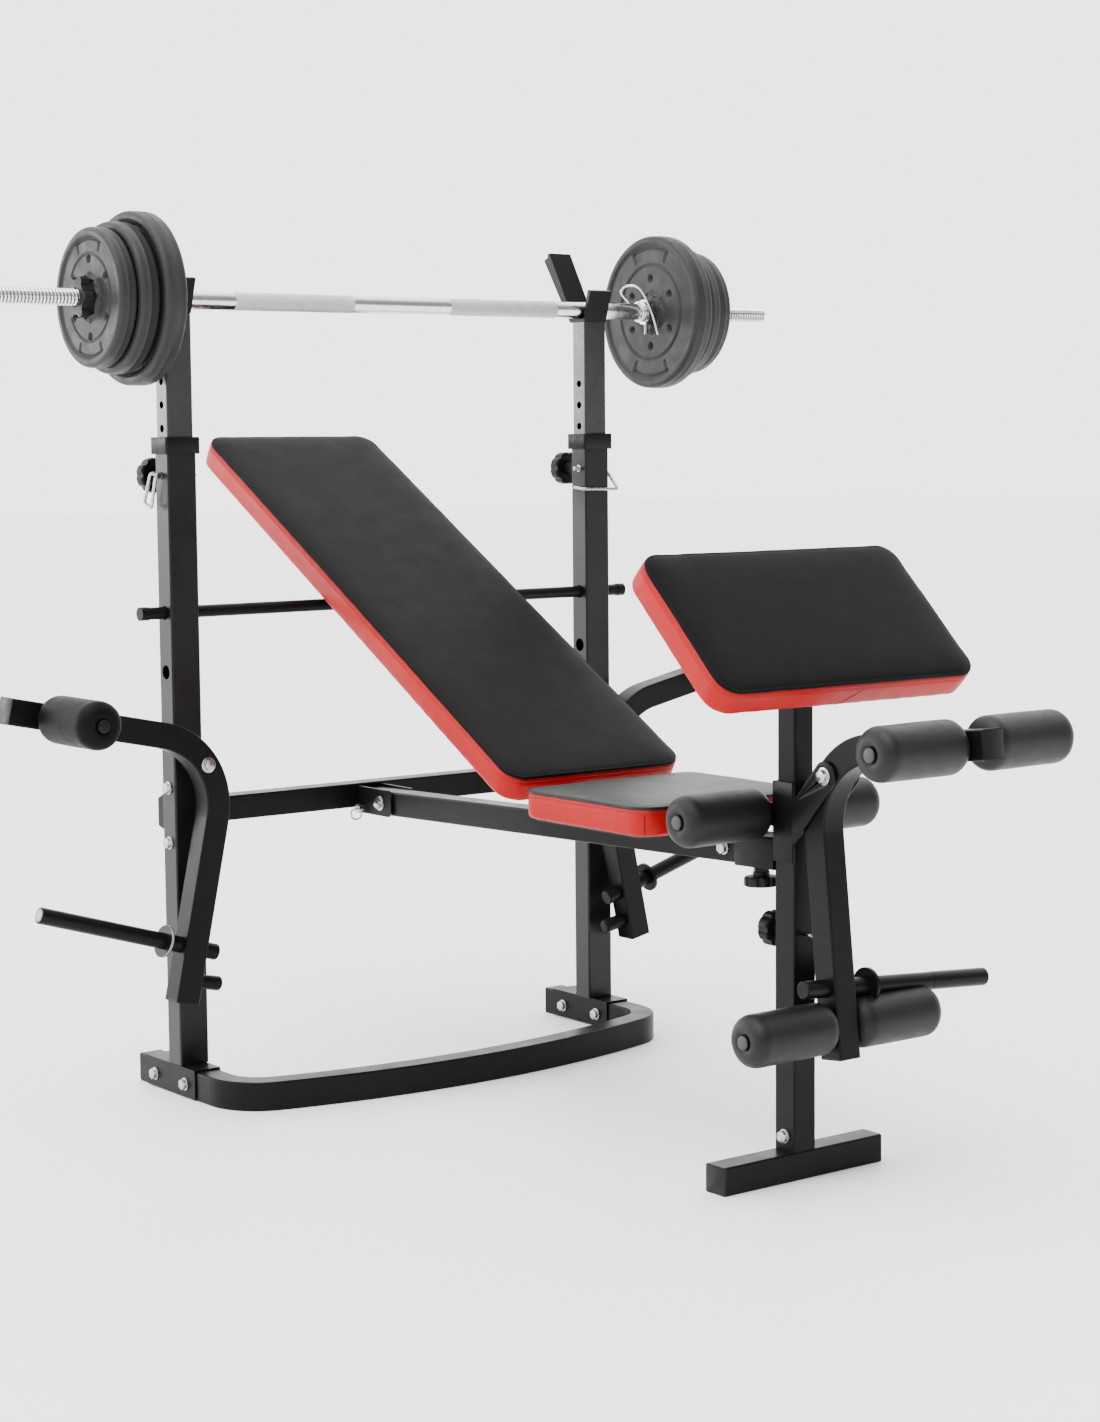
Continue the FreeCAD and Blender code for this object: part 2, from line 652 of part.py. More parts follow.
def beam_sleeve():
    """Socket on the front post that the beam's front end slides into."""
    z = BEAM_PIVOT[1]
    half = BEAM / 2 + 0.4
    skin = half + SLEEVE_WALL
    outer = rounded_bar((-skin, skin), SLEEVE_Y, (z - skin, z + skin), 1)
    bore = block((-half, half), SLEEVE_Y, (z - half, z + half))
    outer = outer.cut(bore)
    outer = outer.cut(cylinder(STUD_R + 1, (0, BEAM_KNOB_Y, z - 40), Z_AXIS, 40))
    return on_beam(outer).cut(block((-50, 50), (FRONT_Y - 20, FRONT_Y + FRONT / 2), (300, 600)))


def beam_bolt():
    """Bolt across the beam, behind its socket."""
    z = BEAM_PIVOT[1]
    return on_beam(bolt((-20, BEAM_BOLT_Y, z), X_AXIS, BEAM))


# ---------------------------------------------------------------- pads
def pad(x_half, y, z, corner, rear=None):
    """Cushion with a rolled top edge and a board let into its underside."""
    body = round_block((-x_half, x_half), y, z, corner, rear)
    rim = [e for e in body.Edges if all(abs(v.Z - z[1]) < 1e-6 for v in e.Vertexes)]
    body = body.makeFillet(PAD_EDGE, rim)
    i = BOARD_INSET
    board = round_block((-x_half + i, x_half - i), (y[0] + i, y[1] - i), (z[0], z[0] + BOARD_T),
                        corner - i * 0.6)
    return body.cut(board), board


def seat_brackets():
    """Two cross plates packed up from the sloping beam to the level seat."""
    y, z = BEAM_PIVOT
    beam = on_beam(block((-20, 20), (-950, 60), (z - 20, z + 20)))
    straps = []
    for mid in (-610.0, -785.0):
        strap = block((-20, 20), (mid - 20, mid + 20), (450.0, SEAT_Z[0])).cut(beam)
        top = max(strap.Solids, key=lambda s: s.CenterOfMass.z)
        wing = block((-110, 110), (mid - 16, mid + 16), (SEAT_Z[0] - 1.5, SEAT_Z[0]))
        straps.append(fused(top, wing))
    return group(*straps)


def back_normal_point(u, w):
    """World y, z of a point u up the backrest and w off its top surface."""
    t = math.radians(BACK_TILT)
    y = BACK_EDGE[0] + u * math.cos(t) - w * math.sin(t)
    z = BACK_EDGE[1] + u * math.sin(t) + w * math.cos(t)
    return y, z


def rod_depth():
    """Distance from the backrest's top surface down to the support rod's axis."""
    t = math.radians(BACK_TILT)
    above = BACK_EDGE[1] - BACK_EDGE[0] * math.tan(t) - ROD_Z[0]
    return above * math.cos(t)


def backrest_rails():
    """Two flat tubes under the board that rest on the support rod."""
    z = (-BACK_T - RAIL_H, -BACK_T)
    rails = []
    for s in (-1, 1):
        x = sorted((s * RAIL_X[0], s * RAIL_X[1]))
        rail = block(x, (HINGE_U, BACK_LEN - 50), z)
        nose = cylinder(RAIL_H / 2, (x[0], HINGE_U, -BACK_T - RAIL_H / 2), X_AXIS, x[1] - x[0])
        rail = fused(rail, nose)
        hole = cylinder(HINGE_BOLT_R + SHAFT_GAP, (x[0] - 5, HINGE_U, -BACK_T - RAIL_H / 2), X_AXIS, 60)
        rails.append(rail.cut(hole))
    return in_pad_frame(group(*rails), BACK_EDGE, BACK_TILT)


def hinge_lugs():
    """Pair of lugs welded on the beam for the backrest's hinge bolt."""
    y, z = BEAM_PIVOT
    beam = on_beam(block((-20, 20), (-950, 60), (z - 20, z + 20)))
    lugs = []
    for s in (-1, 1):
        x = sorted((s * 20.0, s * 24.0))
        low = 440.0
        web = prism([(HINGE[0] - 26, low), (HINGE[0] + 26, low), (HINGE[0] + 7, HINGE[1]),
                     (HINGE[0] - 7, HINGE[1])], "yz", x)
        eye = cylinder(7.0, (x[0], *HINGE), X_AXIS, 4.0)
        lug = fused(web, eye).cut(cylinder(HINGE_BOLT_R + SHAFT_GAP, (x[0] - 5, *HINGE), X_AXIS, 20))
        lugs.append(lug.cut(beam))
    return group(*lugs)


def hinge_bolt():
    """Bolt through the lugs and the backrest's rails."""
    at = (-RAIL_X[1] - 0.5, *HINGE)
    back = V(-1, 0, 0)
    grip = 2 * (RAIL_X[1] + 0.5)
    head = hexagon(12.0, at, back, 5.0)
    shank = cylinder(HINGE_BOLT_R, at, X_AXIS, grip)
    nut = hexagon(12.0, (RAIL_X[1] + 0.5, *HINGE), X_AXIS, 6.0)
    return fused(head, shank, nut)


# ---------------------------------------------------------------- support rod
def support_rod():
    """Rod through both uprights that the backrest lies on."""
    return cylinder(ROD_R, (-ROD_HALF, 0, ROD_Z[0]), X_AXIS, 2 * ROD_HALF)


def rod_plugs():
    """Slip-on end caps, small enough to pass the holes when the rod is drawn out."""
    cap = ring(ROD_R + 1.0, ROD_R, (ROD_HALF - 12.0, 0, ROD_Z[0]), X_AXIS, 12.0)
    cap = cap.fuse(cylinder(ROD_R + 1.0, (ROD_HALF, 0, ROD_Z[0]), X_AXIS, 2.0))
    return with_mirror(cap.removeSplitter())


# ---------------------------------------------------------------- front post
def front_post():
    """Outer tube at the foot end."""
    x = (-FRONT / 2, FRONT / 2)
    y = (FRONT_Y - FRONT / 2, FRONT_Y + FRONT / 2)
    tube = square_tube(x, y, (FOOT_H, FRONT_TOP), 2)
    tube = tube.cut(cylinder(BOLT_HOLE_R, (-40, FRONT_Y, FOOT_BOLT_Z), X_AXIS, 80))
    tube = tube.cut(cylinder(STUD_R + 1, (0, FRONT_Y, PREACH_KNOB_Z), Y_AXIS, FRONT))
    return tube


def stop_screw():
    """Screw end that stands out of the post's front face."""
    front = FRONT_Y - FRONT / 2
    return cylinder(3.0, (0, front - 14.0, PREACH_KNOB_Z), Y_AXIS, 14.0)


def t_foot():
    """Floor tube with the stub that the front post is bolted over."""
    half = FOOT_LEN / 2
    y = (FRONT_Y - FRONT / 2, FRONT_Y + FRONT / 2)
    tube = square_tube((-half, half), y, (0, FOOT_H), 0)
    inside = FRONT / 2 - WALL - 0.2
    stub = square_tube((-inside, inside), (FRONT_Y - inside, FRONT_Y + inside), (FOOT_H - 1, 95.0), 2)
    stub = stub.cut(cylinder(BOLT_HOLE_R, (-40, FRONT_Y, FOOT_BOLT_Z), X_AXIS, 80))
    return fused(tube, stub)


def foot_caps():
    """Caps in both ends of the floor tube."""
    half = FOOT_LEN / 2
    y = (FRONT_Y - FRONT / 2, FRONT_Y + FRONT / 2)
    return group(end_cap((-half, half), y, (0, FOOT_H), 0, -1),
                 end_cap((-half, half), y, (0, FOOT_H), 0, 1))


def foot_bolt():
    """Bolt through the post and the foot's stub."""
    return bolt((-FRONT / 2, FRONT_Y, FOOT_BOLT_Z), X_AXIS, FRONT)


def post_plates():
    """Side plates on the front post: lever ears to the front, knee-rod lobe to the rear."""
    y = (FRONT_Y - FRONT / 2, FRONT_Y + FRONT / 2)
    cover = block(PLATE_X, y, (442.0, FRONT_TOP))
    ear_length = 115.0
    ear = block(PLATE_X, (LEVER_PIVOT[0] - 20, LEVER_PIVOT[0] + 20),
                (LEVER_PIVOT[1] - ear_length, LEVER_PIVOT[1]))
    tip = cylinder(20.0, (PLATE_X[0], *LEVER_PIVOT), X_AXIS, PLATE_X[1] - PLATE_X[0])
    ear = turned(fused(ear, tip), (0, *LEVER_PIVOT), X_AXIS, 41.0)
    ear = ear.cut(block((0, 60), (FRONT_Y + FRONT / 2, 0), (300, 700)))
    lobe = block(PLATE_X, (y[1] - 1, KNEE_AXIS[0]), (KNEE_AXIS[1] - 16, KNEE_AXIS[1] + 16))
    lobe_tip = cylinder(16.0, (PLATE_X[0], *KNEE_AXIS), X_AXIS, PLATE_X[1] - PLATE_X[0])
    plate = fused(cover, ear, lobe, lobe_tip)
    plate = plate.cut(cylinder(BOLT_HOLE_R, (0, *LEVER_PIVOT), X_AXIS, 60))
    plate = plate.cut(cylinder(FOAM_ROD_R, (0, *KNEE_AXIS), X_AXIS, 60))
    plate = moved(plate, x=FRONT / 2 - PLATE_X[0])
    return group(plate, mirrored(plate))


def preacher_post():
    """Inner tube, cut to the pad's slope at the top."""
    half = FRONT / 2 - WALL - SLIDE_GAP
    tube = square_tube((-half, half), (FRONT_Y - half, FRONT_Y + half), (PREACH_BOTTOM, 800.0), 2)
    slab = block((-100, 100), (-200, 200), (-PREACH_T - PREACH_PLATE_T, 400))
    tube = tube.cut(in_pad_frame(slab, PREACH_MID, PREACH_TILT))
    return tube


def preacher_bracket():
    """Plate on the inner tube's sloping top that carries the preacher board."""
    plate = round_block((-90, 90), (-45, 45), (-PREACH_T - PREACH_PLATE_T, -PREACH_T), 10.0)
    return in_pad_frame(plate, PREACH_MID, PREACH_TILT)


# ---------------------------------------------------------------- foam rollers and pegs
def foam(start, axis):
    """Foam sleeve with rounded ends, growing from start along axis."""
    body = cylinder(FOAM_R, start, axis, FOAM_LEN)
    rims = [e for e in body.Edges if isinstance(e.Curve, Part.Circle)]
    body = body.makeFillet(FOAM_ROUND, rims)
    return body.cut(cylinder(FOAM_ROD_R + SHAFT_GAP, start, axis, FOAM_LEN))


def foam_pair(axis_at, inner):
    """Two sleeves on one rod, either side of the middle."""
    left = foam((-inner, *axis_at), V(-1, 0, 0))
    right = foam((inner, *axis_at), X_AXIS)
    return group(left, right)


def roller_rod(axis_at, inner):
    """Rod through a pair of foam sleeves."""
    half = inner + FOAM_LEN - 4.0
    return cylinder(FOAM_ROD_R, (-half, *axis_at), X_AXIS, 2 * half)


def roller_caps(axis_at, inner):
    """Hub caps pressed on a roller rod's ends."""
    half = inner + FOAM_LEN - 4.0
    caps = [cylinder(CAP_R, (s * half - (6 if s < 0 else 0), *axis_at), X_AXIS, 6.0) for s in (-1, 1)]
    return caps


def lever_points():
    """Ends and corner of the lever's centreline, as (y, z) in a flat frame."""
    t = math.radians(LEVER_TILT)
    up = V(-math.cos(t), math.sin(t), 0)
    down = V(-math.sin(t), -math.cos(t), 0)
    pivot = V(*LEVER_PIVOT, 0)
    offset = ARM_OFFSET
    corner = pivot - (up + down) * offset
    return corner + up * LEVER_UP, corner, corner + down * LEVER_DOWN, up, down


def stand_up(shape):
    """Turn a shape from the flat XY frame into the YZ plane: (x, y, z) to (z, x, y)."""
    return turned(shape, (0, 0, 0), V(1, 1, 1), 120)


def lever_at(up_by, down_by):
    """World y, z of a point on the lever measured from its corner."""
    _, corner, _, up, down = lever_points()
    point = corner + up * up_by + down * down_by
    return point.x, point.y


def leg_lever():
    """Bent tube that swings on the front post, with a roller limb and a foot limb."""
    p0, corner, p1, _, _ = lever_points()
    tube = stand_up(bent_tube(p0, corner, p1, LEVER_W, BEAM))
    for at, r in ((LEVER_PIVOT, 5.0 + SHAFT_GAP), (UPPER_AXIS, FOAM_ROD_R), (LOWER_AXIS, FOAM_ROD_R)):
        tube = tube.cut(cylinder(r, (-60, *at), X_AXIS, 120))
    axis = lever_peg_axis()
    return tube.cut(cylinder(LEVER_PEG_R, V(0, *LEVER_PEG) - axis * 60, axis, 120))


def limb_slab(end, direction, half, z_half, low, high):
    """Block across a bent tube's limb in the flat frame, from low to high along the limb."""
    across = V(-direction.y, direction.x, 0) * half
    bottom = V(0, 0, -z_half)
    corners = [end + across + direction * low, end - across + direction * low,
               end - across + direction * high, end + across + direction * high]
    wire = Part.makePolygon([p + bottom for p in corners + corners[:1]])
    return Part.Face(wire).extrude(V(0, 0, 2 * z_half))


def limb_plug(end, direction, depth):
    """Plastic cap over the end of a bent tube, in the flat frame."""
    plate = limb_slab(end, direction, BEAM / 2, depth / 2, 0, 3.0)
    edges = [e for e in plate.Edges if abs(e.tangentAt(e.FirstParameter).dot(direction)) > 0.9]
    plate = plate.makeFillet(TUBE_EDGE, edges)
    fit = WALL + 0.1
    return fused(plate, limb_slab(end, direction, BEAM / 2 - fit, depth / 2 - fit, -12.0, 0))


def lever_caps():
    """Caps in both ends of the lever."""
    p0, corner, p1, up, down = lever_points()
    return group(stand_up(limb_plug(p0, up, LEVER_W)), stand_up(limb_plug(p1, down, LEVER_W)))


def lever_rollers():
    """Both roller pairs; the peg and its flange press a groove into the lower right sleeve."""
    axis = lever_peg_axis()
    at = V(0, *LEVER_PEG)
    slot = cylinder(PEG_FLANGE_R + CLEAR, at + axis * (PEG_FLANGE_X - CLEAR), axis, PEG_FLANGE_T + 2 * CLEAR)
    groove = cylinder(PEG_R + CLEAR, at, axis, LEVER_PEG_X)
    lower = foam_pair(LOWER_AXIS, LEVER_INNER).cut(slot).cut(groove)
    return group(foam_pair(UPPER_AXIS, LEVER_INNER), lower)


def lever_bolt():
    """Bolt the lever swings on."""
    x = FRONT / 2 + PLATE_X[1] - PLATE_X[0]
    return bolt((-x, *LEVER_PIVOT), X_AXIS, 2 * x, washer_r=12.0)


def peg_rod(radius, start, axis, length, low_end=True, high_end=True):
    """Round bar with the named ends' edges rounded."""
    rod = cylinder(radius, start, axis, length)
    middle = start + axis * (length / 2)
    ends = [e for e in rod.Edges if isinstance(e.Curve, Part.Circle)
            and (high_end if (e.Curve.Center - middle).dot(axis) > 0 else low_end)]
    return rod.makeFillet(2.0, ends)


def peg(at, axis, back, flange, length):
    """Weight peg: round bar through the limb with a flange. at is on the limb's centre line."""
    at = V(*at)
    rod = peg_rod(PEG_R, at - axis * back, axis, back + length)
    return fused(rod, cylinder(PEG_FLANGE_R, at + axis * flange, axis, PEG_FLANGE_T))


def lever_peg():
    """The lever's peg: slightly thinner beside the foam sleeve, full size on its free stretch."""
    axis = lever_peg_axis()
    at = V(0, *LEVER_PEG)
    thin = peg_rod(LEVER_PEG_R, at - axis * LEVER_PEG_BACK_X, axis, LEVER_PEG_BACK_X + LEVER_PEG_FREE_X,
                   high_end=False)
    free = peg_rod(PEG_R, at + axis * LEVER_PEG_FREE_X, axis, LEVER_PEG_X - LEVER_PEG_FREE_X, low_end=False)
    return fused(thin, free, cylinder(PEG_FLANGE_R, at + axis * PEG_FLANGE_X, axis, PEG_FLANGE_T))


def lever_peg_axis():
    """Direction of the lever's peg, out and slightly down."""
    return turned_vector(X_AXIS, Y_AXIS, LEVER_PEG_DIP)


def arm_peg_axis():
    """Direction of an arm's peg in the arm's flat frame, out and slightly up."""
    return turned_vector(X_AXIS, Z_AXIS, ARM_PEG_RISE)


# ---------------------------------------------------------------- arms
def arm_points():
    """Ends and corner of an arm's centreline, in a frame with x outwards and y up."""
    return (V(ARM_UP, ARM_OFFSET, 0), V(-ARM_OFFSET, ARM_OFFSET, 0), V(-ARM_OFFSET, -ARM_DOWN, 0))


def place_left_arm(shape):
    """Flat arm frame to the left arm: x outwards becomes -X, y becomes Z, z becomes -Y."""
    tilted = turned(shape, (0, 0, 0), Z_AXIS, ARM_TILT)
    upright = turned(tilted, (0, 0, 0), X_AXIS, 90)
    return moved(mirrored(upright), -POST_X, ARM_Y, ARM_PIVOT_Z)


def left_arm():
    """Bent tube that swings on the upright, with a roller limb and a weight limb."""
    tube = bent_tube(*arm_points(), BEAM, BEAM)
    tube = tube.cut(cylinder(BOLT_HOLE_R, (0, 0, -60), Z_AXIS, 120))
    peg_axis = arm_peg_axis()
    peg_start = V(-ARM_OFFSET, ARM_PEG_DOWN, 0) - peg_axis * 60
    tube = tube.cut(cylinder(PEG_R, peg_start, peg_axis, 120))
    tube = tube.cut(cylinder(STUB_R, (-150, ARM_STUB_DOWN, 0), X_AXIS, 130))
    tube = tube.cut(cylinder(FOAM_ROD_R, (ARM_ROLLER, ARM_OFFSET, -60), Z_AXIS, 120))
    return place_left_arm(tube)


def left_arm_caps():
    """Caps in both ends of the arm."""
    p0, corner, p1 = arm_points()
    return place_left_arm(group(limb_plug(p0, X_AXIS, BEAM), limb_plug(p1, V(0, -1, 0), BEAM)))


def left_arm_peg():
    """Weight peg across the lower limb."""
    at = (-ARM_OFFSET, ARM_PEG_DOWN, 0)
    return place_left_arm(peg(at, arm_peg_axis(), ARM_PEG_BACK, ARM_PEG_FLANGE, ARM_PEG_LEN))


def left_arm_stub():
    """Rubber bumper that meets the upright's front."""
    stub = cylinder(STUB_R, (-95, ARM_STUB_DOWN, 0), X_AXIS, 75.0)
    tip = [e for e in stub.Edges if isinstance(e.Curve, Part.Circle) and e.CenterOfMass.x < -90]
    return place_left_arm(stub.makeFillet(4.0, tip))


def left_arm_rod():
    """Roller rod through the upper limb."""
    back = cylinder(FOAM_ROD_R, (ARM_ROLLER, ARM_OFFSET, -20), Z_AXIS,
                    20 + ARM_ROLLER_GAP + FOAM_LEN - 4.0)
    return place_left_arm(back)


def left_arm_foam():
    """Foam sleeve in front of the upper limb."""
    return place_left_arm(foam((ARM_ROLLER, ARM_OFFSET, ARM_ROLLER_GAP), Z_AXIS))


def left_arm_rod_cap():
    """Hub cap on the arm's roller rod."""
    z = ARM_ROLLER_GAP + FOAM_LEN - 4.0
    return place_left_arm(cylinder(CAP_R, (ARM_ROLLER, ARM_OFFSET, z), Z_AXIS, 6.0))


def left_arm_boss():
    """Spacer tube between the upright and the arm."""
    return ring(15.0, BOLT_HOLE_R, (-POST_X, ARM_Y + 20 + CLEAR, ARM_PIVOT_Z), Y_AXIS, 20 - CLEAR)


def left_arm_bolt():
    """Bolt through arm, spacer and upright."""
    start = (-POST_X, ARM_Y - 20 - CLEAR, ARM_PIVOT_Z)
    return bolt(start, Y_AXIS, 80 + CLEAR, washer_r=12.0)


# ---------------------------------------------------------------- barbell
def bar():
    """Plain bar with collars' thread cut as a slightly smaller end."""
    mid = cylinder(BAR_R, (-BAR_HALF + THREAD_LEN, 0, BAR_Z), X_AXIS, 2 * (BAR_HALF - THREAD_LEN))
    ends = [cylinder(BAR_R - THREAD_CUT, (s * BAR_HALF - (0 if s < 0 else THREAD_LEN + 1), 0, BAR_Z), X_AXIS,
                     THREAD_LEN + 1) for s in (-1, 1)]
    return moved(fused(mid, *ends), x=BAR_OFFSET)


def disc(r, width, start, side):
    """Weight disc with a raised rim and hub."""
    x = start if side > 0 else start - width
    body = cylinder(r, (x, 0, BAR_Z), X_AXIS, width)
    rims = [e for e in body.Edges if isinstance(e.Curve, Part.Circle)]
    body = body.makeFillet(6.0, rims)
    for face in (x, x + width - 4.0):
        groove = ring(r - 16.0, 34.0, (face, 0, BAR_Z), X_AXIS, 4.0)
        body = body.cut(groove)
    return body.cut(cylinder(BAR_R + 0.5, (x - 1, 0, BAR_Z), X_AXIS, width + 2))


def disc_pair(index):
    """The same disc at both ends of the bar."""
    r, width = DISC_SIZES[index]
    along = sum(w + DISC_GAP for _, w in DISC_SIZES[:index])
    pair = [disc(r, width, s * (PLATE_START[s] + along), s) for s in (-1, 1)]
    return moved(group(*pair), x=BAR_OFFSET)


def star_collars():
    """Six-lobed spin-lock nuts."""
    made = []
    for s in (-1, 1):
        end = s * (PLATE_START[s] + STACK_WIDTH)
        x = end if s > 0 else end - 20.0
        body = cylinder(26.0, (x, 0, BAR_Z), X_AXIS, 20.0)
        for k in range(6):
            swing = math.radians(60 * k)
            lobe = cylinder(8.0, (x, 26 * math.cos(swing), BAR_Z + 26 * math.sin(swing)), X_AXIS, 14.0)
            body = body.fuse(lobe)
        made.append(body.removeSplitter().cut(cylinder(BAR_R + 0.5, (x - 1, 0, BAR_Z), X_AXIS, 22)))
    return moved(group(*made), x=BAR_OFFSET)


def inner_collars():
    """Plain rings that stop the discs on the inside."""
    made = []
    for s in (-1, 1):
        x = s * PLATE_START[s] - (13.5 if s > 0 else -0.5)
        body = ring(21.0, BAR_R + 0.3, (x, 0, BAR_Z), X_AXIS, 13.0)
        made.append(body)
    return moved(group(*made), x=BAR_OFFSET)


def collar_screws():
    """Grub screws under the inner rings."""
    made = []
    for s in (-1, 1):
        x = s * (PLATE_START[s] - 7.0)
        made.append(cylinder(3.0, (x, 0, BAR_Z - 38.0), Z_AXIS, 17.0))
    return moved(group(*made), x=BAR_OFFSET)


# ---------------------------------------------------------------- positions that follow
RAIL_H = rod_depth() - ROD_R - CLEAR - BACK_T
HINGE = back_normal_point(HINGE_U, -BACK_T - RAIL_H / 2)
UPPER_AXIS = lever_at(LEVER_UP - ROLLER_BACK, 0)
LOWER_AXIS = lever_at(0, LEVER_DOWN - ROLLER_BACK)
LEVER_PEG = lever_at(0, LEVER_DOWN - LEVER_PEG_BACK)


# ---------------------------------------------------------------- build
def both_sides(name, shape):
    """A left node and its mirrored right node."""
    parts["left_" + name] = shape
    parts["right_" + name] = mirrored(shape)


def with_mirror(*shapes):
    """The shapes and their mirror images in one node."""
    return group(*shapes, *[mirrored(shape) for shape in shapes])


def make_frame():
    """Everything that stays still."""
    parts["base_u_tube"] = base_u_tube()
    parts["tube_end_caps"] = group(base_end_caps(), foot_caps())
    parts["saddles"] = with_mirror(left_saddle())
    parts["frame_bolts"] = group(base_bolts(), cross_bolts(), with_mirror(left_pin_tip()))
    both_sides("upright", left_upright())
    parts["mast_collars"] = with_mirror(left_collar())
    parts["cross_member"] = cross_member()
    parts["fold_bracket"] = fold_bracket()
    parts["main_beam"] = main_beam()
    parts["hinge_lugs"] = hinge_lugs()
    parts["front_post"] = front_post()
    parts["t_foot"] = t_foot()
    parts["post_brackets"] = group(post_plates(), beam_sleeve())
    parts["bench_bolts"] = group(pivot_bolt(), beam_bolt(), foot_bolt(), stop_screw())
    parts["pivot_bolts"] = group(with_mirror(left_arm_bolt()), lever_bolt())
    parts["knee_rod"] = group(roller_rod(KNEE_AXIS, KNEE_INNER), *roller_caps(KNEE_AXIS, KNEE_INNER))
    parts["knee_rollers"] = foam_pair(KNEE_AXIS, KNEE_INNER)


def make_masts():
    """Masts, crutches, knobs, nuts and pins."""
    both_sides("mast", left_mast())
    both_sides("crutch", left_crutch())
    nuts = [left_arm_boss(), mirrored(left_arm_boss())]
    for side, name in ((-1, "left"), (1, "right")):
        parts[name + "_mast_knob"] = mast_knob(side)
        nuts.append(weld_nut((side * POST_X, POST_D / 2, LOCK_Z), Y_AXIS))
    parts["left_lock_pin"] = left_lock_pin()
    parts["right_lock_pin"] = right_lock_pin()
    parts["fold_pin"] = fold_pin()
    rear = FRONT_Y + FRONT / 2
    parts["preacher_knob"] = knob((0, rear + 8.0, PREACH_KNOB_Z), Y_AXIS,
                                  8.0 + WALL + SLIDE_GAP - CLEAR, boss=4.0)
    nuts.append(weld_nut((0, rear, PREACH_KNOB_Z), Y_AXIS))
    under = BEAM_PIVOT[1] - BEAM / 2 - 0.4 - SLEEVE_WALL
    parts["beam_knob"] = on_beam(knob((0, BEAM_KNOB_Y, under - 8.0), V(0, 0, -1), 10.9 - CLEAR, boss=6.0,
                                       thick=14.0))
    nuts.append(on_beam(weld_nut((0, BEAM_KNOB_Y, under - 8.0), Z_AXIS)))
    parts["weld_nuts"] = group(*nuts)


def make_pads():
    """Seat, backrest, preacher pad and what holds them."""
    cushion, board = pad(SEAT_X, SEAT_Y, SEAT_Z, PAD_CORNER, SEAT_REAR_CORNER)
    parts["seat_pad"] = cushion
    parts["seat_board"] = board
    parts["seat_brackets"] = seat_brackets()
    cushion, board = pad(BACK_X, (0, BACK_LEN), (-BACK_T, 0), PAD_CORNER)
    parts["backrest_pad"] = in_pad_frame(cushion, BACK_EDGE, BACK_TILT)
    parts["backrest_board"] = in_pad_frame(board, BACK_EDGE, BACK_TILT)
    parts["backrest_rails"] = backrest_rails()
    parts["hinge_bolt"] = hinge_bolt()
    half = PREACH_LEN / 2
    cushion, board = pad(PREACH_X, (-half, half), (-PREACH_T, 0), PAD_CORNER)
    parts["preacher_pad"] = in_pad_frame(cushion, PREACH_MID, PREACH_TILT)
    parts["preacher_board"] = in_pad_frame(board, PREACH_MID, PREACH_TILT)
    parts["preacher_post"] = group(preacher_post(), preacher_bracket())
    parts["support_rod"] = group(support_rod(), rod_plugs())


def make_lever():
    """Leg lever with its rollers and peg."""
    parts["leg_lever"] = leg_lever()
    parts["lever_caps"] = group(lever_caps(), *roller_caps(UPPER_AXIS, LEVER_INNER),
                                *roller_caps(LOWER_AXIS, LEVER_INNER))
    parts["lever_rods"] = group(roller_rod(UPPER_AXIS, LEVER_INNER), roller_rod(LOWER_AXIS, LEVER_INNER))
    parts["lever_rollers"] = lever_rollers()
    parts["lever_peg"] = lever_peg()


def make_arms():
    """Both arms with their rollers and pegs."""
    both_sides("arm", left_arm())
    both_sides("arm_caps", group(left_arm_caps(), left_arm_rod_cap()))
    both_sides("arm_peg", group(left_arm_peg(), left_arm_stub(), left_arm_rod()))
    both_sides("arm_roller", left_arm_foam())


def make_barbell():
    """Bar, discs and collars."""
    parts["bar"] = bar()
    for index, name in enumerate(("large_discs", "medium_discs", "small_discs")):
        parts[name] = disc_pair(index)
    parts["star_collars"] = star_collars()
    parts["inner_collars"] = group(inner_collars(), collar_screws())


make_frame()
make_masts()
make_pads()
make_lever()
make_arms()
make_barbell()

os.makedirs("parts", exist_ok=True)
for name, shape in parts.items():
    shape = moved(shape, y=ORIGIN_Y)
    if not shape.isValid():
        print("not valid:", name)
    shape.exportStep("parts/" + name + ".step")
print(len(parts), "nodes")
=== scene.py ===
"""Looks for the weight bench: camera, studio, materials, sewn pads, foam rollers and barbell."""
import json
import math

import bpy
from mathutils import Matrix, Vector, noise
from mathutils.bvhtree import BVHTree


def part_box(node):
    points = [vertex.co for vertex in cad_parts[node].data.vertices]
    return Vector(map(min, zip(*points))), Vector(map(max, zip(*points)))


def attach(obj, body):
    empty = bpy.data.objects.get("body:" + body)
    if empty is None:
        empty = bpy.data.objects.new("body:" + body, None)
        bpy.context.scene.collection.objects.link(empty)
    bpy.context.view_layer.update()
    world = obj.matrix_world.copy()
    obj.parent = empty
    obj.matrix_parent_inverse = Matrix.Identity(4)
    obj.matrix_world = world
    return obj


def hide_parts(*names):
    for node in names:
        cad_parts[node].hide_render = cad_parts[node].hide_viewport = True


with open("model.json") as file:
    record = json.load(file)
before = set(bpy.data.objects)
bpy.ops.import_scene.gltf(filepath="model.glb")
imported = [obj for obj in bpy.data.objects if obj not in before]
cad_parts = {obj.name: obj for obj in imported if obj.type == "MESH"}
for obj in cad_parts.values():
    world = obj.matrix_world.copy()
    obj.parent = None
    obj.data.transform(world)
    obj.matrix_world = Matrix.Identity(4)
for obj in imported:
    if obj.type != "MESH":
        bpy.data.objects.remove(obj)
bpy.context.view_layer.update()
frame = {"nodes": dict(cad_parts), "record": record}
NODES = frame["nodes"]
X, Y, Z = Vector((1, 0, 0)), Vector((0, 1, 0)), Vector((0, 0, 1))
MM = 0.001
TURN = 2 * math.pi
POINT = 1e-7                # radius that closes a turned shape on its axis


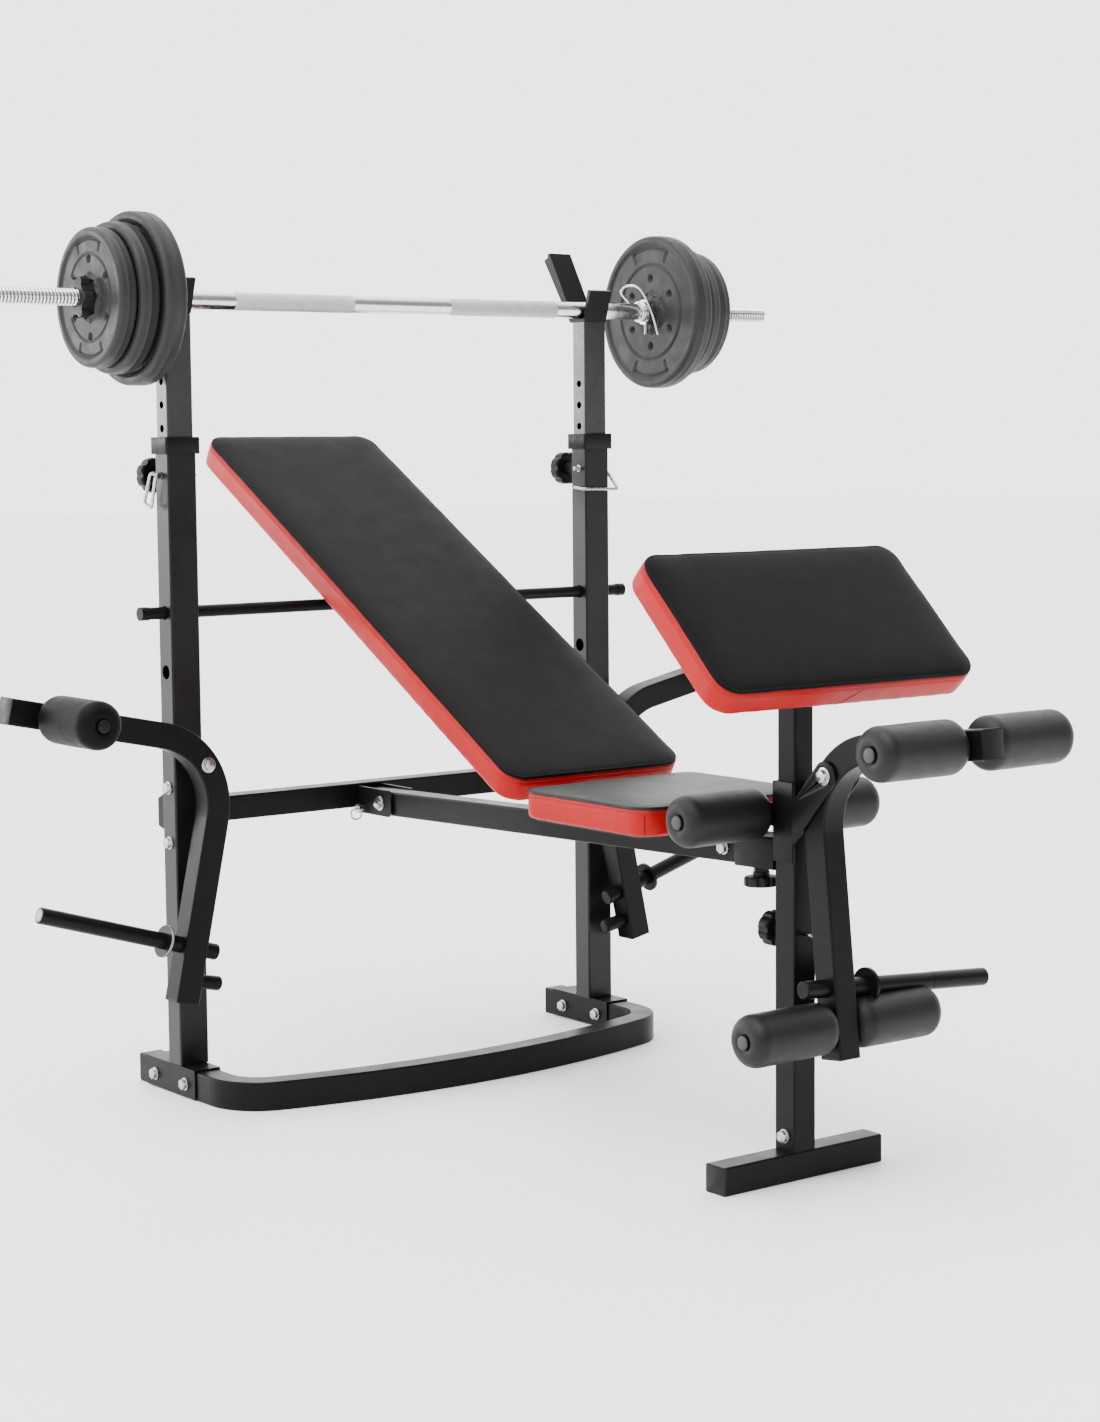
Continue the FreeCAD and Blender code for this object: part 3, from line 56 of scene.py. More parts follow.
# ------------------------------------------------------------------ reading the frame
def lumps(node):
    """Boxes of the separate solids in a CAD node, as (low, high), ordered by x, y, z."""
    mesh = NODES[node].data
    keys = [tuple(round(c, 5) for c in v.co) for v in mesh.vertices]
    root = {k: k for k in keys}

    def find(k):
        """The point that stands for k's solid."""
        while root[k] != k:
            root[k] = root[root[k]]
            k = root[k]
        return k

    for poly in mesh.polygons:
        first = find(keys[poly.vertices[0]])
        for index in poly.vertices[1:]:
            root[find(keys[index])] = first
    boxes = {}
    for k in set(keys):
        low, high = boxes.setdefault(find(k), (list(k), list(k)))
        for axis in range(3):
            low[axis] = min(low[axis], k[axis])
            high[axis] = max(high[axis], k[axis])
    found = [(Vector(low), Vector(high)) for low, high in boxes.values()]
    return sorted(found, key=lambda b: tuple(round(c, 3) for c in b[0]))


def pad_frame(node):
    """Matrix from a pad's own axes (x across, y up the slope, z off the top) and its half sizes."""
    mesh = NODES[node].data
    area = {}
    for poly in mesh.polygons:
        if poly.normal.z > 0.3:
            key = tuple(round(c, 2) for c in poly.normal)
            area[key] = area.get(key, 0) + poly.area
    top = max(area, key=area.get)
    normal = Vector((0, top[1], top[2])).normalized()
    slope = normal.cross(X)
    along = [v.co.dot(slope) for v in mesh.vertices]
    up = [v.co.dot(normal) for v in mesh.vertices]
    across = [v.co.x for v in mesh.vertices]
    middle = slope * (max(along) + min(along)) / 2 + normal * max(up)
    turn = Matrix((X, slope, normal)).transposed().to_4x4()
    half = (max(across), (max(along) - min(along)) / 2, max(up) - min(up))
    return Matrix.Translation(middle) @ turn, half


# ------------------------------------------------------------------ camera and studio
CAMERA_AT = (-2.508, -3.497, 1.023)
YAW, PITCH, ROLL = 37.19, 5.73, -0.5        # degrees: from +Y towards +X, down, and about the line of sight
LENS, SENSOR = 69.29, 36.0
FLOOR_REACH = 30


def add_camera():
    """Camera at the viewing angle, with a slight roll."""
    yaw, pitch, roll = math.radians(YAW), math.radians(PITCH), math.radians(ROLL)
    level = math.cos(pitch)
    look = Vector((math.sin(yaw) * level, math.cos(yaw) * level, -math.sin(pitch)))
    right = look.cross(Z).normalized()
    up = right.cross(look)
    rolled_right = right * math.cos(roll) + up * math.sin(roll)
    rolled_up = up * math.cos(roll) - right * math.sin(roll)
    data = bpy.data.cameras.new("camera")
    data.sensor_width = SENSOR
    data.lens = LENS
    camera = bpy.data.objects.new("camera", data)
    turn = Matrix((rolled_right, rolled_up, -look)).transposed().to_4x4()
    camera.matrix_world = Matrix.Translation(CAMERA_AT) @ turn
    bpy.context.scene.collection.objects.link(camera)
    bpy.context.scene.camera = camera


def area_light(name, place, target, size, power):
    """Rectangular light at a place, turned to face a target."""
    data = bpy.data.lights.new(name, "AREA")
    data.shape = "RECTANGLE"
    data.size, data.size_y = size
    data.energy = power
    light = bpy.data.objects.new(name, data)
    light.location = place
    light.rotation_euler = (Vector(target) - Vector(place)).to_track_quat("-Z", "Y").to_euler()
    bpy.context.scene.collection.objects.link(light)


def studio_world():
    """Plain bright surround, darker on the -Y side so that faces turned that way stay dark."""
    world = bpy.data.worlds.new("studio")
    world.use_nodes = True
    nodes, links = world.node_tree.nodes, world.node_tree.links
    split = nodes.new("ShaderNodeSeparateXYZ")
    links.new(nodes.new("ShaderNodeTexCoord").outputs["Generated"], split.inputs[0])
    level = nodes.new("ShaderNodeMapRange")
    level.interpolation_type = "SMOOTHSTEP"
    for key, value in (("From Min", -0.7), ("From Max", 0.2), ("To Min", 0.4), ("To Max", 3.3)):
        level.inputs[key].default_value = value
    links.new(split.outputs["Y"], level.inputs["Value"])
    links.new(level.outputs["Result"], nodes["Background"].inputs["Strength"])
    nodes["Background"].inputs["Color"].default_value = (1.0, 1.0, 1.0, 1)
    bpy.context.scene.world = world


def soft_sun(name, direction, power, spread):
    """Wide sun: even light on the whole floor with soft shadows."""
    data = bpy.data.lights.new(name, "SUN")
    data.energy = power
    data.angle = math.radians(spread)
    light = bpy.data.objects.new(name, data)
    light.rotation_euler = Vector(direction).to_track_quat("-Z", "Y").to_euler()
    bpy.context.scene.collection.objects.link(light)


def add_studio():
    """Pale floor, bright surround and three lights."""
    mesh = bpy.data.meshes.new("floor")
    corners = [(x * FLOOR_REACH, y * FLOOR_REACH, 0) for x, y in ((-1, -1), (1, -1), (1, 1), (-1, 1))]
    mesh.from_pydata(corners, [], [(0, 1, 2, 3)])
    floor = bpy.data.objects.new("floor", mesh)
    bpy.context.scene.collection.objects.link(floor)
    floor.data.materials.append(floor_material())
    studio_world()
    area_light("left_wall", (-4.6, 7.2, 1.75), (0, 0.3, 1.1), (3.4, 1.3), 200)
    area_light("front_top", (-1.6, -3.4, 3.4), (0, -0.2, 0.5), (2.2, 1.6), 60)
    soft_sun("sky", (0.35, 0.15, -1.0), 3.4, 50)


# ------------------------------------------------------------------ materials
class Shader:
    """A Principled material with a few helpers for chains of nodes."""

    def __init__(self, name):
        self.material = bpy.data.materials.new(name)
        self.material.use_nodes = True
        self.tree = self.material.node_tree
        self.surface = self.tree.nodes["Principled BSDF"]
        self.place = self.add("ShaderNodeTexCoord").outputs["Object"]

    def add(self, kind, **settings):
        """New node of a kind, with its settings."""
        node = self.tree.nodes.new(kind)
        for key, value in settings.items():
            setattr(node, key, value)
        return node

    def link(self, out, into):
        self.tree.links.new(out, into)

    def set(self, **values):
        """Plain values on the surface's inputs."""
        for key, value in values.items():
            self.surface.inputs[key.replace("_", " ").title()].default_value = value

    def shine(self, level):
        """Strength of the surface's plain reflection; 0.5 is ordinary plastic or paint."""
        self.surface.inputs["Specular IOR Level"].default_value = level

    def noise(self, scale, detail=2.0, rough=0.5):
        node = self.add("ShaderNodeTexNoise")
        node.inputs["Scale"].default_value = scale
        node.inputs["Detail"].default_value = detail
        node.inputs["Roughness"].default_value = rough
        self.link(self.place, node.inputs["Vector"])
        return node.outputs["Fac"]

    def cells(self, scale):
        node = self.add("ShaderNodeTexVoronoi", feature="F1")
        node.inputs["Scale"].default_value = scale
        self.link(self.place, node.inputs["Vector"])
        return node.outputs["Distance"]

    def spread(self, value, low, high):
        """Stretch the middle of a noise to the range from low to high."""
        node = self.add("ShaderNodeMapRange")
        for key, number in (("From Min", 0.3), ("From Max", 0.7), ("To Min", low), ("To Max", high)):
            node.inputs[key].default_value = number
        self.link(value, node.inputs["Value"])
        return node.outputs["Result"]

    def blend(self, factor, dark, light):
        node = self.add("ShaderNodeMix", data_type="RGBA")
        self.link(factor, node.inputs["Factor"])
        node.inputs["A"].default_value = (*dark, 1)
        node.inputs["B"].default_value = (*light, 1)
        return node.outputs["Result"]

    def step(self, operation, *values):
        """One step of arithmetic on outputs and plain numbers."""
        node = self.add("ShaderNodeMath", operation=operation)
        for value, into in zip(values, node.inputs):
            if isinstance(value, (int, float)):
                into.default_value = value
            else:
                self.link(value, into)
        return node.outputs[0]

    def total(self, first, second, weight):
        return self.step("MULTIPLY_ADD", second, weight, first)

    def bump(self, height, strength, distance):
        """Fine relief in the shading only."""
        node = self.add("ShaderNodeBump")
        node.inputs["Strength"].default_value = strength
        node.inputs["Distance"].default_value = distance
        self.link(height, node.inputs["Height"])
        self.link(node.outputs["Normal"], self.surface.inputs["Normal"])

    def colour(self, factor, dark, light):
        self.link(self.blend(factor, dark, light), self.surface.inputs["Base Color"])

    def rough(self, value, low, high):
        self.link(self.spread(value, low, high), self.surface.inputs["Roughness"])


def floor_material():
    """Smooth pale floor."""
    s = Shader("pale_floor")
    s.colour(s.noise(3.0), (0.9, 0.9, 0.9), (0.94, 0.94, 0.94))
    s.rough(s.noise(8.0), 0.5, 0.6)
    return s.material


def paint_material(name, rough, shine):
    """Satin black powder coat: fine orange peel, faint dust and uneven gloss."""
    s = Shader(name)
    s.colour(s.noise(14.0, 5), (0.0026, 0.0026, 0.003), (0.0055, 0.0055, 0.006))
    s.rough(s.noise(30.0, 4), rough - 0.05, rough + 0.05)
    s.shine(shine)
    s.bump(s.total(s.noise(900.0, 2), s.noise(2400.0, 1), 0.4), 0.25, 0.0002)
    return s.material


def plastic_material():
    """Black moulded plastic of the knobs and caps."""
    s = Shader("moulded_black_plastic")
    s.colour(s.noise(40.0, 3), (0.003, 0.003, 0.003), (0.006, 0.006, 0.006))
    s.rough(s.noise(60.0, 3), 0.34, 0.5)
    s.shine(0.15)
    s.bump(s.cells(1800.0), 0.15, 0.0002)
    return s.material


def zinc_material():
    """Bright zinc plate on bolts and pins."""
    s = Shader("bright_zinc")
    s.colour(s.noise(120.0, 4), (0.34, 0.345, 0.355), (0.5, 0.5, 0.51))
    s.set(metallic=1.0)
    s.rough(s.noise(200.0, 3), 0.2, 0.34)
    s.bump(s.noise(700.0, 2), 0.1, 0.0001)
    return s.material


def chrome_material():
    """Chrome plate on the bar and its clip."""
    s = Shader("chromed_steel")
    s.colour(s.noise(60.0, 4), (0.66, 0.67, 0.68), (0.8, 0.8, 0.81))
    s.set(metallic=1.0)
    s.rough(s.noise(90.0, 4), 0.14, 0.26)
    s.bump(s.noise(500.0, 2), 0.06, 0.0001)
    return s.material


KNURL_STARTS = 44.0         # ridges round the bar
KNURL_WAVE = 3140.0         # radians of ridge per metre along it


def knurl_material():
    """Diamond knurling: two crossed sets of ridges round the bar."""
    s = Shader("knurled_steel")
    split = s.add("ShaderNodeSeparateXYZ")
    s.link(s.place, split.inputs[0])
    rise = s.step("SUBTRACT", split.outputs["Z"], BAR_CENTRE.z)
    across = s.step("SUBTRACT", split.outputs["Y"], BAR_CENTRE.y)
    angle = s.step("ARCTAN2", rise, across)
    lengthways = s.step("MULTIPLY", split.outputs["X"], KNURL_WAVE)
    ridges = [s.step("SINE", s.step("MULTIPLY_ADD", angle, starts, lengthways))
              for starts in (KNURL_STARTS, -KNURL_STARTS)]
    both = s.step("MULTIPLY", *ridges)
    s.colour(s.noise(150.0, 4), (0.42, 0.42, 0.43), (0.6, 0.6, 0.61))
    s.set(metallic=1.0)
    s.rough(s.noise(90.0, 4), 0.34, 0.48)
    s.bump(both, 0.5, 0.0004)
    return s.material


def leather_material(name, dark, light, rough, shine):
    """Synthetic leather: pebbled grain, soft folds and a slightly uneven gloss."""
    s = Shader(name)
    s.colour(s.noise(9.0, 4), dark, light)
    s.rough(s.noise(25.0, 4), rough - 0.03, rough + 0.03)
    grain = s.total(s.cells(650.0), s.noise(1500.0, 3), 0.5)
    s.bump(s.total(grain, s.noise(40.0, 3), 0.8), 0.22, 0.0005)
    s.shine(shine)
    return s.material


def foam_material(name, shine):
    """Closed-cell foam: soft skin with fine pores."""
    s = Shader(name)
    s.colour(s.noise(25.0, 5), (0.0025, 0.0025, 0.003), (0.006, 0.006, 0.0065))
    s.rough(s.noise(50.0, 4), 0.42, 0.52)
    s.shine(shine)
    s.bump(s.total(s.cells(1300.0), s.noise(90.0, 4), 0.5), 0.35, 0.0004)
    return s.material


def vinyl_material(name, dark, light):
    """Moulded vinyl of the weight discs and their nuts, with a stippled face and scuffs."""
    s = Shader(name)
    s.colour(s.noise(18.0, 6, 0.65), dark, light)
    s.rough(s.noise(45.0, 4), 0.42, 0.56)
    s.shine(0.22)
    s.bump(s.total(s.cells(900.0), s.noise(300.0, 3), 0.6), 0.25, 0.0004)
    return s.material


def cloth_material():
    """Black non-woven dust cloth under the pads."""
    s = Shader("dust_cloth")
    s.colour(s.noise(400.0, 4), (0.02, 0.02, 0.02), (0.05, 0.05, 0.05))
    s.set(roughness=0.9)
    s.bump(s.cells(700.0), 0.4, 0.0004)
    return s.material


def thread_material(name, shade):
    """Sewing thread, darker between its fibres."""
    s = Shader(name)
    s.colour(s.noise(900.0, 2), tuple(c * 0.7 for c in shade), shade)
    s.set(roughness=0.6)
    s.bump(s.noise(2500.0, 2), 0.3, 0.0002)
    return s.material


def bare_steel_and_highlight_material():
    """Grey steel with rubbed paint left in patches; as the band on the left arm's flange rim it is a painted
    highlight.
    """
    s = Shader("bare_steel_and_highlight")
    s.colour(s.noise(260.0, 5, 0.7), (0.12, 0.12, 0.125), (0.42, 0.42, 0.43))
    s.set(metallic=0.7)
    s.rough(s.noise(300.0, 3), 0.35, 0.5)
    s.bump(s.noise(900.0, 2), 0.15, 0.0001)
    return s.material


def thread_shade_material():
    """Dull steel at the bottom of the bar's thread, its colour painted dark as the shade in the grooves."""
    s = Shader("groove_shade_steel")
    s.colour(s.noise(300.0, 3), (0.07, 0.07, 0.075), (0.14, 0.14, 0.145))
    s.set(metallic=0.6)
    s.rough(s.noise(300.0, 3), 0.45, 0.6)
    s.bump(s.noise(900.0, 2), 0.15, 0.0001)
    return s.material


def hub_material():
    """Moulded grey plastic of the rollers' hub discs."""
    s = Shader("grey_hub_plastic")
    s.colour(s.noise(80.0, 3), (0.012, 0.012, 0.012), (0.02, 0.02, 0.02))
    s.set(roughness=0.5)
    s.bump(s.noise(900.0, 2), 0.2, 0.0002)
    return s.material


# ------------------------------------------------------------------ mesh helpers
def add_object(name, mesh, body, materials, replaces=()):
    """Put a mesh in the scene on a body, with its materials and the nodes it stands for."""
    piece = bpy.data.objects.new(name, mesh)
    bpy.context.scene.collection.objects.link(piece)
    for material in materials:
        mesh.materials.append(material)
    for poly in mesh.polygons:
        poly.use_smooth = True
    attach(piece, body)
    if replaces:
        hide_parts(*replaces)
    return piece


def lathe(profile, segments, axis_at, axis, bend=None):
    """Mesh turned from (along, radius) points about a line; bend may add to each radius."""
    side = Z if abs(axis.z) < 0.9 else X
    u = axis.cross(side).normalized()
    w = axis.cross(u)
    points, faces = [], []
    for along, radius in profile:
        for k in range(segments):
            angle = TURN * k / segments
            r = radius + (bend(along, radius, angle) if bend else 0.0)
            points.append(axis_at + axis * along + (u * math.cos(angle) + w * math.sin(angle)) * r)
    for i in range(len(profile) - 1):
        for k in range(segments):
            a, b = i * segments + k, i * segments + (k + 1) % segments
            faces.append((a, a + segments, b + segments, b))
    if profile[0][1] > 2 * POINT:
        faces.append(tuple(range(segments)))
    if profile[-1][1] > 2 * POINT:
        last = (len(profile) - 1) * segments
        faces.append(tuple(reversed(range(last, last + segments))))
    mesh = bpy.data.meshes.new("turned")
    mesh.from_pydata(points, [], faces)
    mesh.update()
    return mesh


# ------------------------------------------------------------------ pads
CELL = 0.009                # size of a cushion's grid squares
EDGE = 0.006                # radius of the rolled top edge
HEM = 0.005                 # height of the strip between the two seams
UNDER_HEM = HEM + 0.0022    # from the rolled edge down to the first row below the hem
SIDE_ROW = 0.007            # height between rows down the side
PAD_CORNER = 0.032
PAD_GAP = 0.002             # cover inside the CAD solid, before it swells
STAPLE = 0.036              # distance between the gathers along the underside
PUFF = 0.006                # how far the cloth may swell
PRESSURE = 4.0
CLOTH_FRAMES = 20
SEAM_HOLD = 0.35            # share of each seam point that is pinned
SEAM_DRAW = {"seam": 0.0014, "seam2": 0.001}
GATHER = 0.0007             # ripples beside the seams
GATHER_REACH = 0.012
STAPLE_DRAW, STAPLE_LIFT, STAPLE_REACH = 0.0009, 0.0004, 0.02
TOP_RIPPLE = 0.0004
STITCH_PITCH, STITCH_LENGTH, STITCH_WIDTH, STITCH_HEIGHT = 0.0052, 0.0034, 0.0005, 0.00035
SEAM_HALF, SEAM_STEPS = 0.0011, 14


def rounded(x, y, half_x, half_y, corner):
    """Point of a square grid moved so that the grid's corners become round."""
    inner_x, inner_y = half_x - corner, half_y - corner
    if abs(x) <= inner_x or abs(y) <= inner_y:
        return x, y
    u, v = (abs(x) - inner_x) / corner, (abs(y) - inner_y) / corner
    round_x = inner_x + corner * u * math.sqrt(1 - v * v / 2)
    round_y = inner_y + corner * v * math.sqrt(1 - u * u / 2)
    return math.copysign(round_x, x), math.copysign(round_y, y)


class PadMesh:
    """Closed pad of quads: a top grid, rows down the side, and a bottom grid.

    kinds holds one word per face, side_rows the points of each row, and bottom those of the underside.
    """

    def __init__(self, half_x, half_y, thick, corner):
        self.half = (half_x, half_y)
        self.thick = thick
        self.corner = corner
        self.nx = max(8, round(2 * half_x / CELL))
        self.ny = max(8, round(2 * half_y / CELL))
        self.points, self.faces, self.kinds = [], [], []
        self.build()

    def grid_at(self, i, j, inset, z):
        """Point of the grid at a height, drawn in from the outline by an inset."""
        fx, fy = 2 * i / self.nx - 1, 2 * j / self.ny - 1
        half_x, half_y = self.half[0] - inset, self.half[1] - inset
        x, y = rounded(fx * half_x, fy * half_y, half_x, half_y, self.corner - inset * 0.6)
        return Vector((x, y, z))

    def rim(self):
        """Grid places round the edge, in order."""
        nx, ny = self.nx, self.ny
        loop = [(i, 0) for i in range(nx)] + [(nx, j) for j in range(ny)]
        loop += [(i, ny) for i in range(nx, 0, -1)] + [(0, j) for j in range(ny, 0, -1)]
        return loop

    def rows(self):
        """(inset, z, kind of the faces above) for each row down the side."""
        turned = [(EDGE * (1 - math.sin(a)), -EDGE * (1 - math.cos(a)), "top")
                  for a in (math.radians(30), math.radians(58), math.radians(80))]
        deep = -self.thick
        lower, last = -EDGE - UNDER_HEM, deep + 0.006
        sewn = [(0.0, -EDGE - 0.0006, "top"), (0.0006, -EDGE - 0.0014, "seam"),
                (0.0, -EDGE - 0.0026, "side"), (0.0, -EDGE - HEM, "side"),
                (0.0008, -EDGE - HEM - 0.0009, "seam2"), (0.0, lower, "side")]
        steps = max(2, round((lower - last) / SIDE_ROW))
        plain = [(0.0, lower + (last - lower) * k / steps, "side") for k in range(1, steps + 1)]
        folded = [(0.0025, deep + 0.002, "side"), (0.007, deep, "side")]
        return turned + sewn + plain + folded

    def build(self):
        nx, ny = self.nx, self.ny
        top = {}
        for j in range(ny + 1):
            for i in range(nx + 1):
                top[i, j] = len(self.points)
                self.points.append(self.grid_at(i, j, EDGE, 0.0))
        for j in range(ny):
            for i in range(nx):
                self.faces.append((top[i, j], top[i + 1, j], top[i + 1, j + 1], top[i, j + 1]))
                self.kinds.append("top")
        rim = self.rim()
        above = [top[k] for k in rim]
        self.side_rows = []
        for inset, z, kind in self.rows():
            row = []
            for i, j in rim:
                row.append(len(self.points))
                self.points.append(self.grid_at(i, j, inset, z))
            for k in range(len(rim)):
                n = (k + 1) % len(rim)
                self.faces.append((above[k], row[k], row[n], above[n]))
                self.kinds.append(kind)
            self.side_rows.append((kind, row))
            above = row
        inset, z, _ = self.rows()[-1]
        low = dict(zip(rim, above))
        self.bottom = list(above)
        for j in range(1, ny):
            for i in range(1, nx):
                low[i, j] = len(self.points)
                self.points.append(self.grid_at(i, j, inset, z))
                self.bottom.append(low[i, j])
        for j in range(ny):
            for i in range(nx):
                self.faces.append((low[i, j], low[i, j + 1], low[i + 1, j + 1], low[i + 1, j]))
                self.kinds.append("bottom")


def swell(piece, pinned, part_pinned):
    """Inflate a pad with cloth pressure, hold each point within PUFF, and keep the result."""
    mesh = piece.data
    start = [v.co.copy() for v in mesh.vertices]
    group = piece.vertex_groups.new(name="pin")
    group.add(pinned, 1.0, "REPLACE")
    group.add(part_pinned, SEAM_HOLD, "REPLACE")
    modifier = piece.modifiers.new("cloth", "CLOTH")
    settings = modifier.settings
    settings.quality = 6
    settings.mass = 0.25
    settings.tension_stiffness = 12
    settings.compression_stiffness = 12
    settings.shear_stiffness = 6
    settings.bending_stiffness = 2.0
    settings.use_pressure = True
    settings.uniform_pressure_force = PRESSURE
    settings.vertex_group_mass = "pin"
    settings.effector_weights.gravity = 0
    modifier.point_cache.frame_start = 1
    modifier.point_cache.frame_end = CLOTH_FRAMES
    scene = bpy.context.scene
    for number in range(1, CLOTH_FRAMES + 1):
        scene.frame_set(number)
    shaped = piece.evaluated_get(bpy.context.evaluated_depsgraph_get()).to_mesh()
    moved = [v.co.copy() for v in shaped.vertices]
    piece.modifiers.remove(modifier)
    scene.frame_set(1)
    shifts = evened(mesh, [new - old for old, new in zip(start, moved)])
    for vertex, old, shift in zip(mesh.vertices, start, shifts):
        vertex.co = old + shift * (PUFF / (PUFF + shift.length))
    piece.vertex_groups.clear()


def evened(mesh, shifts, rounds=14):
    """Average each point's shift with its neighbours', so that the cloth keeps no sharp bumps."""
    beside = [[] for _ in shifts]
    for edge in mesh.edges:
        a, b = edge.vertices
        beside[a].append(b)
        beside[b].append(a)
    for _ in range(rounds):
        shifts = [shift * 0.4 + sum((shifts[n] for n in near), Vector()) * (0.6 / len(near))
                  for shift, near in zip(shifts, beside)]
    return shifts


def stitch_row(name, points, outward, body, material):
    """A line of short raised stitches along a closed loop; outward holds each point's normal."""
    mesh = bpy.data.meshes.new(name)
    verts, faces = [], []
    total = next_at = 0.0
    count = len(points)
    for k in range(count):
        a, b = points[k], points[(k + 1) % count]
        step = (b - a).length
        while next_at < total + step:
            along = (b - a).normalized()
            mid = a + along * (next_at - total)
            out = outward[k]
            side = along.cross(out).normalized()
            base = len(verts)
            for t, lift in ((-0.5, 0.0), (-0.3, 1.0), (0.3, 1.0), (0.5, 0.0)):
                centre = mid + along * STITCH_LENGTH * t
                verts.append(centre + side * STITCH_WIDTH)
                verts.append(centre + out * STITCH_HEIGHT * (0.2 + lift))
                verts.append(centre - side * STITCH_WIDTH)
            for row in range(3):
                q = base + row * 3
                faces.append((q, q + 1, q + 4, q + 3))
                faces.append((q + 1, q + 2, q + 5, q + 4))
            next_at += STITCH_PITCH
        total += step
    mesh.from_pydata(verts, [], faces)
    return add_object(name, mesh, body, [material])


def make_pad(node, body, seed, top):
    """Sewn cushion that stands for a pad's CAD solid: leather top, red band, dust cloth below."""
    place, (half_x, half_y, thick) = pad_frame(node)
    form = PadMesh(half_x - PAD_GAP, half_y - PAD_GAP, thick - PAD_GAP, PAD_CORNER)
    mesh = bpy.data.meshes.new(node)
    mesh.from_pydata(form.points, [], form.faces)
    index = {"top": 0, "seam": 0, "side": 1, "seam2": 1, "bottom": 2}
    piece = add_object(node + "_cushion", mesh, body, [top, RED_LEATHER, DUST_CLOTH],
                       replaces=(node,))
    for poly, kind in zip(mesh.polygons, form.kinds):
        poly.material_index = index[kind]
    seams = [v for kind, row in form.side_rows for v in row if kind in ("seam", "seam2")]
    crown(mesh, half_x, half_y)
    swell(piece, form.bottom, seams)
    pucker(mesh, form, seed)
    mesh.transform(place)
    mesh.update()
    smooth = piece.modifiers.new("smooth", "SUBSURF")
    smooth.levels = smooth.render_levels = 1
    stitches(node, form, mesh, place, body)
    upright_seams(node, piece, place, (half_x, half_y, thick), body)


def crown(mesh, half_x, half_y):
    """Start the top a little below its final height, with a soft fall towards the edges."""
    for vertex in mesh.vertices:
        if vertex.co.z > -0.001:
            margin = min(half_x - abs(vertex.co.x), half_y - abs(vertex.co.y))
            fall = math.exp(-max(0.0, margin) / 0.022)
            vertex.co.z -= 0.0025 * fall + 0.002


def pucker(mesh, form, seed):
    """Sewn look: seams drawn in, fabric gathered beside them and above the staples, a soft top."""
    deep = -form.thick
    for kind, row in form.side_rows:
        count = len(row)
        travelled = 0.0
        for k, index in enumerate(row):
            vertex = mesh.vertices[index]
            before, after = mesh.vertices[row[k - 1]].co, mesh.vertices[row[(k + 1) % count]].co
            travelled += (vertex.co - before).length
            out = (after - before).normalized().cross(Z)
            gather = noise.noise(Vector((k * 0.55, seed, vertex.co.z * 30)))
            gather += 0.5 * noise.noise(Vector((k * 1.3, seed + 7, vertex.co.z * 60)))
            near_seam = 1.0 / (1.0 + ((vertex.co.z + EDGE + HEM / 2) / GATHER_REACH) ** 2)
            near_floor = max(0.0, 1.0 - (vertex.co.z - deep) / STAPLE_REACH)
            staple = 0.5 - 0.5 * math.cos(TURN * (travelled / STAPLE + 0.3 * gather))
            vertex.co += out * (GATHER * gather * near_seam - SEAM_DRAW.get(kind, 0.0)
                                - STAPLE_DRAW * staple * near_floor)
            vertex.co.z += STAPLE_LIFT * staple * near_floor
    for vertex in mesh.vertices:
        if vertex.co.z > -EDGE:
            soft = noise.noise(Vector((vertex.co.x * 9, vertex.co.y * 7, seed)))
            soft += 0.5 * noise.noise(Vector((vertex.co.x * 21, vertex.co.y * 17, seed + 3)))
            vertex.co.z += TOP_RIPPLE * soft


def stitches(node, form, mesh, place, body):
    """One row of thread along the hem strip."""
    lift = 0.0003
    row = [points for kind, points in form.side_rows if kind == "side"][1]
    points = [mesh.vertices[i].co.copy() for i in row]
    normals = []
    up = (place.to_3x3() @ Z).normalized()
    for k in range(len(points)):
        along = (points[(k + 1) % len(points)] - points[k - 1]).normalized()
        normals.append(along.cross(up).normalized())
    points = [p + n * lift for p, n in zip(points, normals)]
    stitch_row(node + "_top_thread", points, normals, body, RED_THREAD)


def seam_line(name, tree, from_out, to_out, inward, body):
    """Raised seam on a pad's side: points between two places outside it, dropped on to its surface. Its
    darker red paints the shade in the seam's crease.
    """
    verts, faces = [], []
    along = (to_out - from_out).normalized()
    side = along.cross(inward).normalized()
    for k in range(SEAM_STEPS + 1):
        start = from_out.lerp(to_out, k / SEAM_STEPS)
        hit = tree.ray_cast(start, inward)[0]
        if hit is None:
            continue
        fade = min(1.0, k / 2, (SEAM_STEPS - k) / 2)
        for across, lift in ((-SEAM_HALF, -0.0002), (-0.0005, 0.0003), (0.0, 0.00065 * fade),
                             (0.0005, 0.0003), (SEAM_HALF, -0.0002)):
            verts.append(hit + side * across - inward * lift)
    rows = len(verts) // 5
    for row in range(rows - 1):
        for k in range(4):
            a = row * 5 + k
            faces.append((a, a + 1, a + 6, a + 5))
    mesh = bpy.data.meshes.new(name)
    mesh.from_pydata(verts, [], faces)
    # Seam strips in the darker red, the painted shade of the seam's crease.
    return add_object(name, mesh, body, [SEAM_SHADE_RED])


def upright_seams(node, piece, place, size, body):
    """Upright seams at the seat's front corners, and the slanting one on the curl pad's front face."""
    half_x, half_y, thick = size
    tree = BVHTree.FromObject(piece, bpy.context.evaluated_depsgraph_get())
    turn = place.to_3x3()
    high, low = -EDGE - HEM - 0.002, -thick + 0.004
    reach = 0.02
    corners = ((-1, -1), (1, -1)) if node == "seat_pad" else ()
    for number, (sx, sy) in enumerate(corners):
        outward = Vector((sx, sy, 0)).normalized()
        arc = Vector((sx * (half_x - PAD_CORNER), sy * (half_y - PAD_CORNER), 0))
        middle = arc + outward * (PAD_CORNER + reach)
        ends = [place @ (middle + Z * z) for z in (high, low)]
        seam_line(f"{node}_corner_{number + 1}", tree, *ends, turn @ -outward, body)
    if node == "preacher_pad":
        top = place @ Vector((0.02, -half_y - reach, high))
        bottom = place @ Vector((-0.015, -half_y - reach, low))
        seam_line(node + "_front_seam", tree, top, bottom, turn @ Y, body)


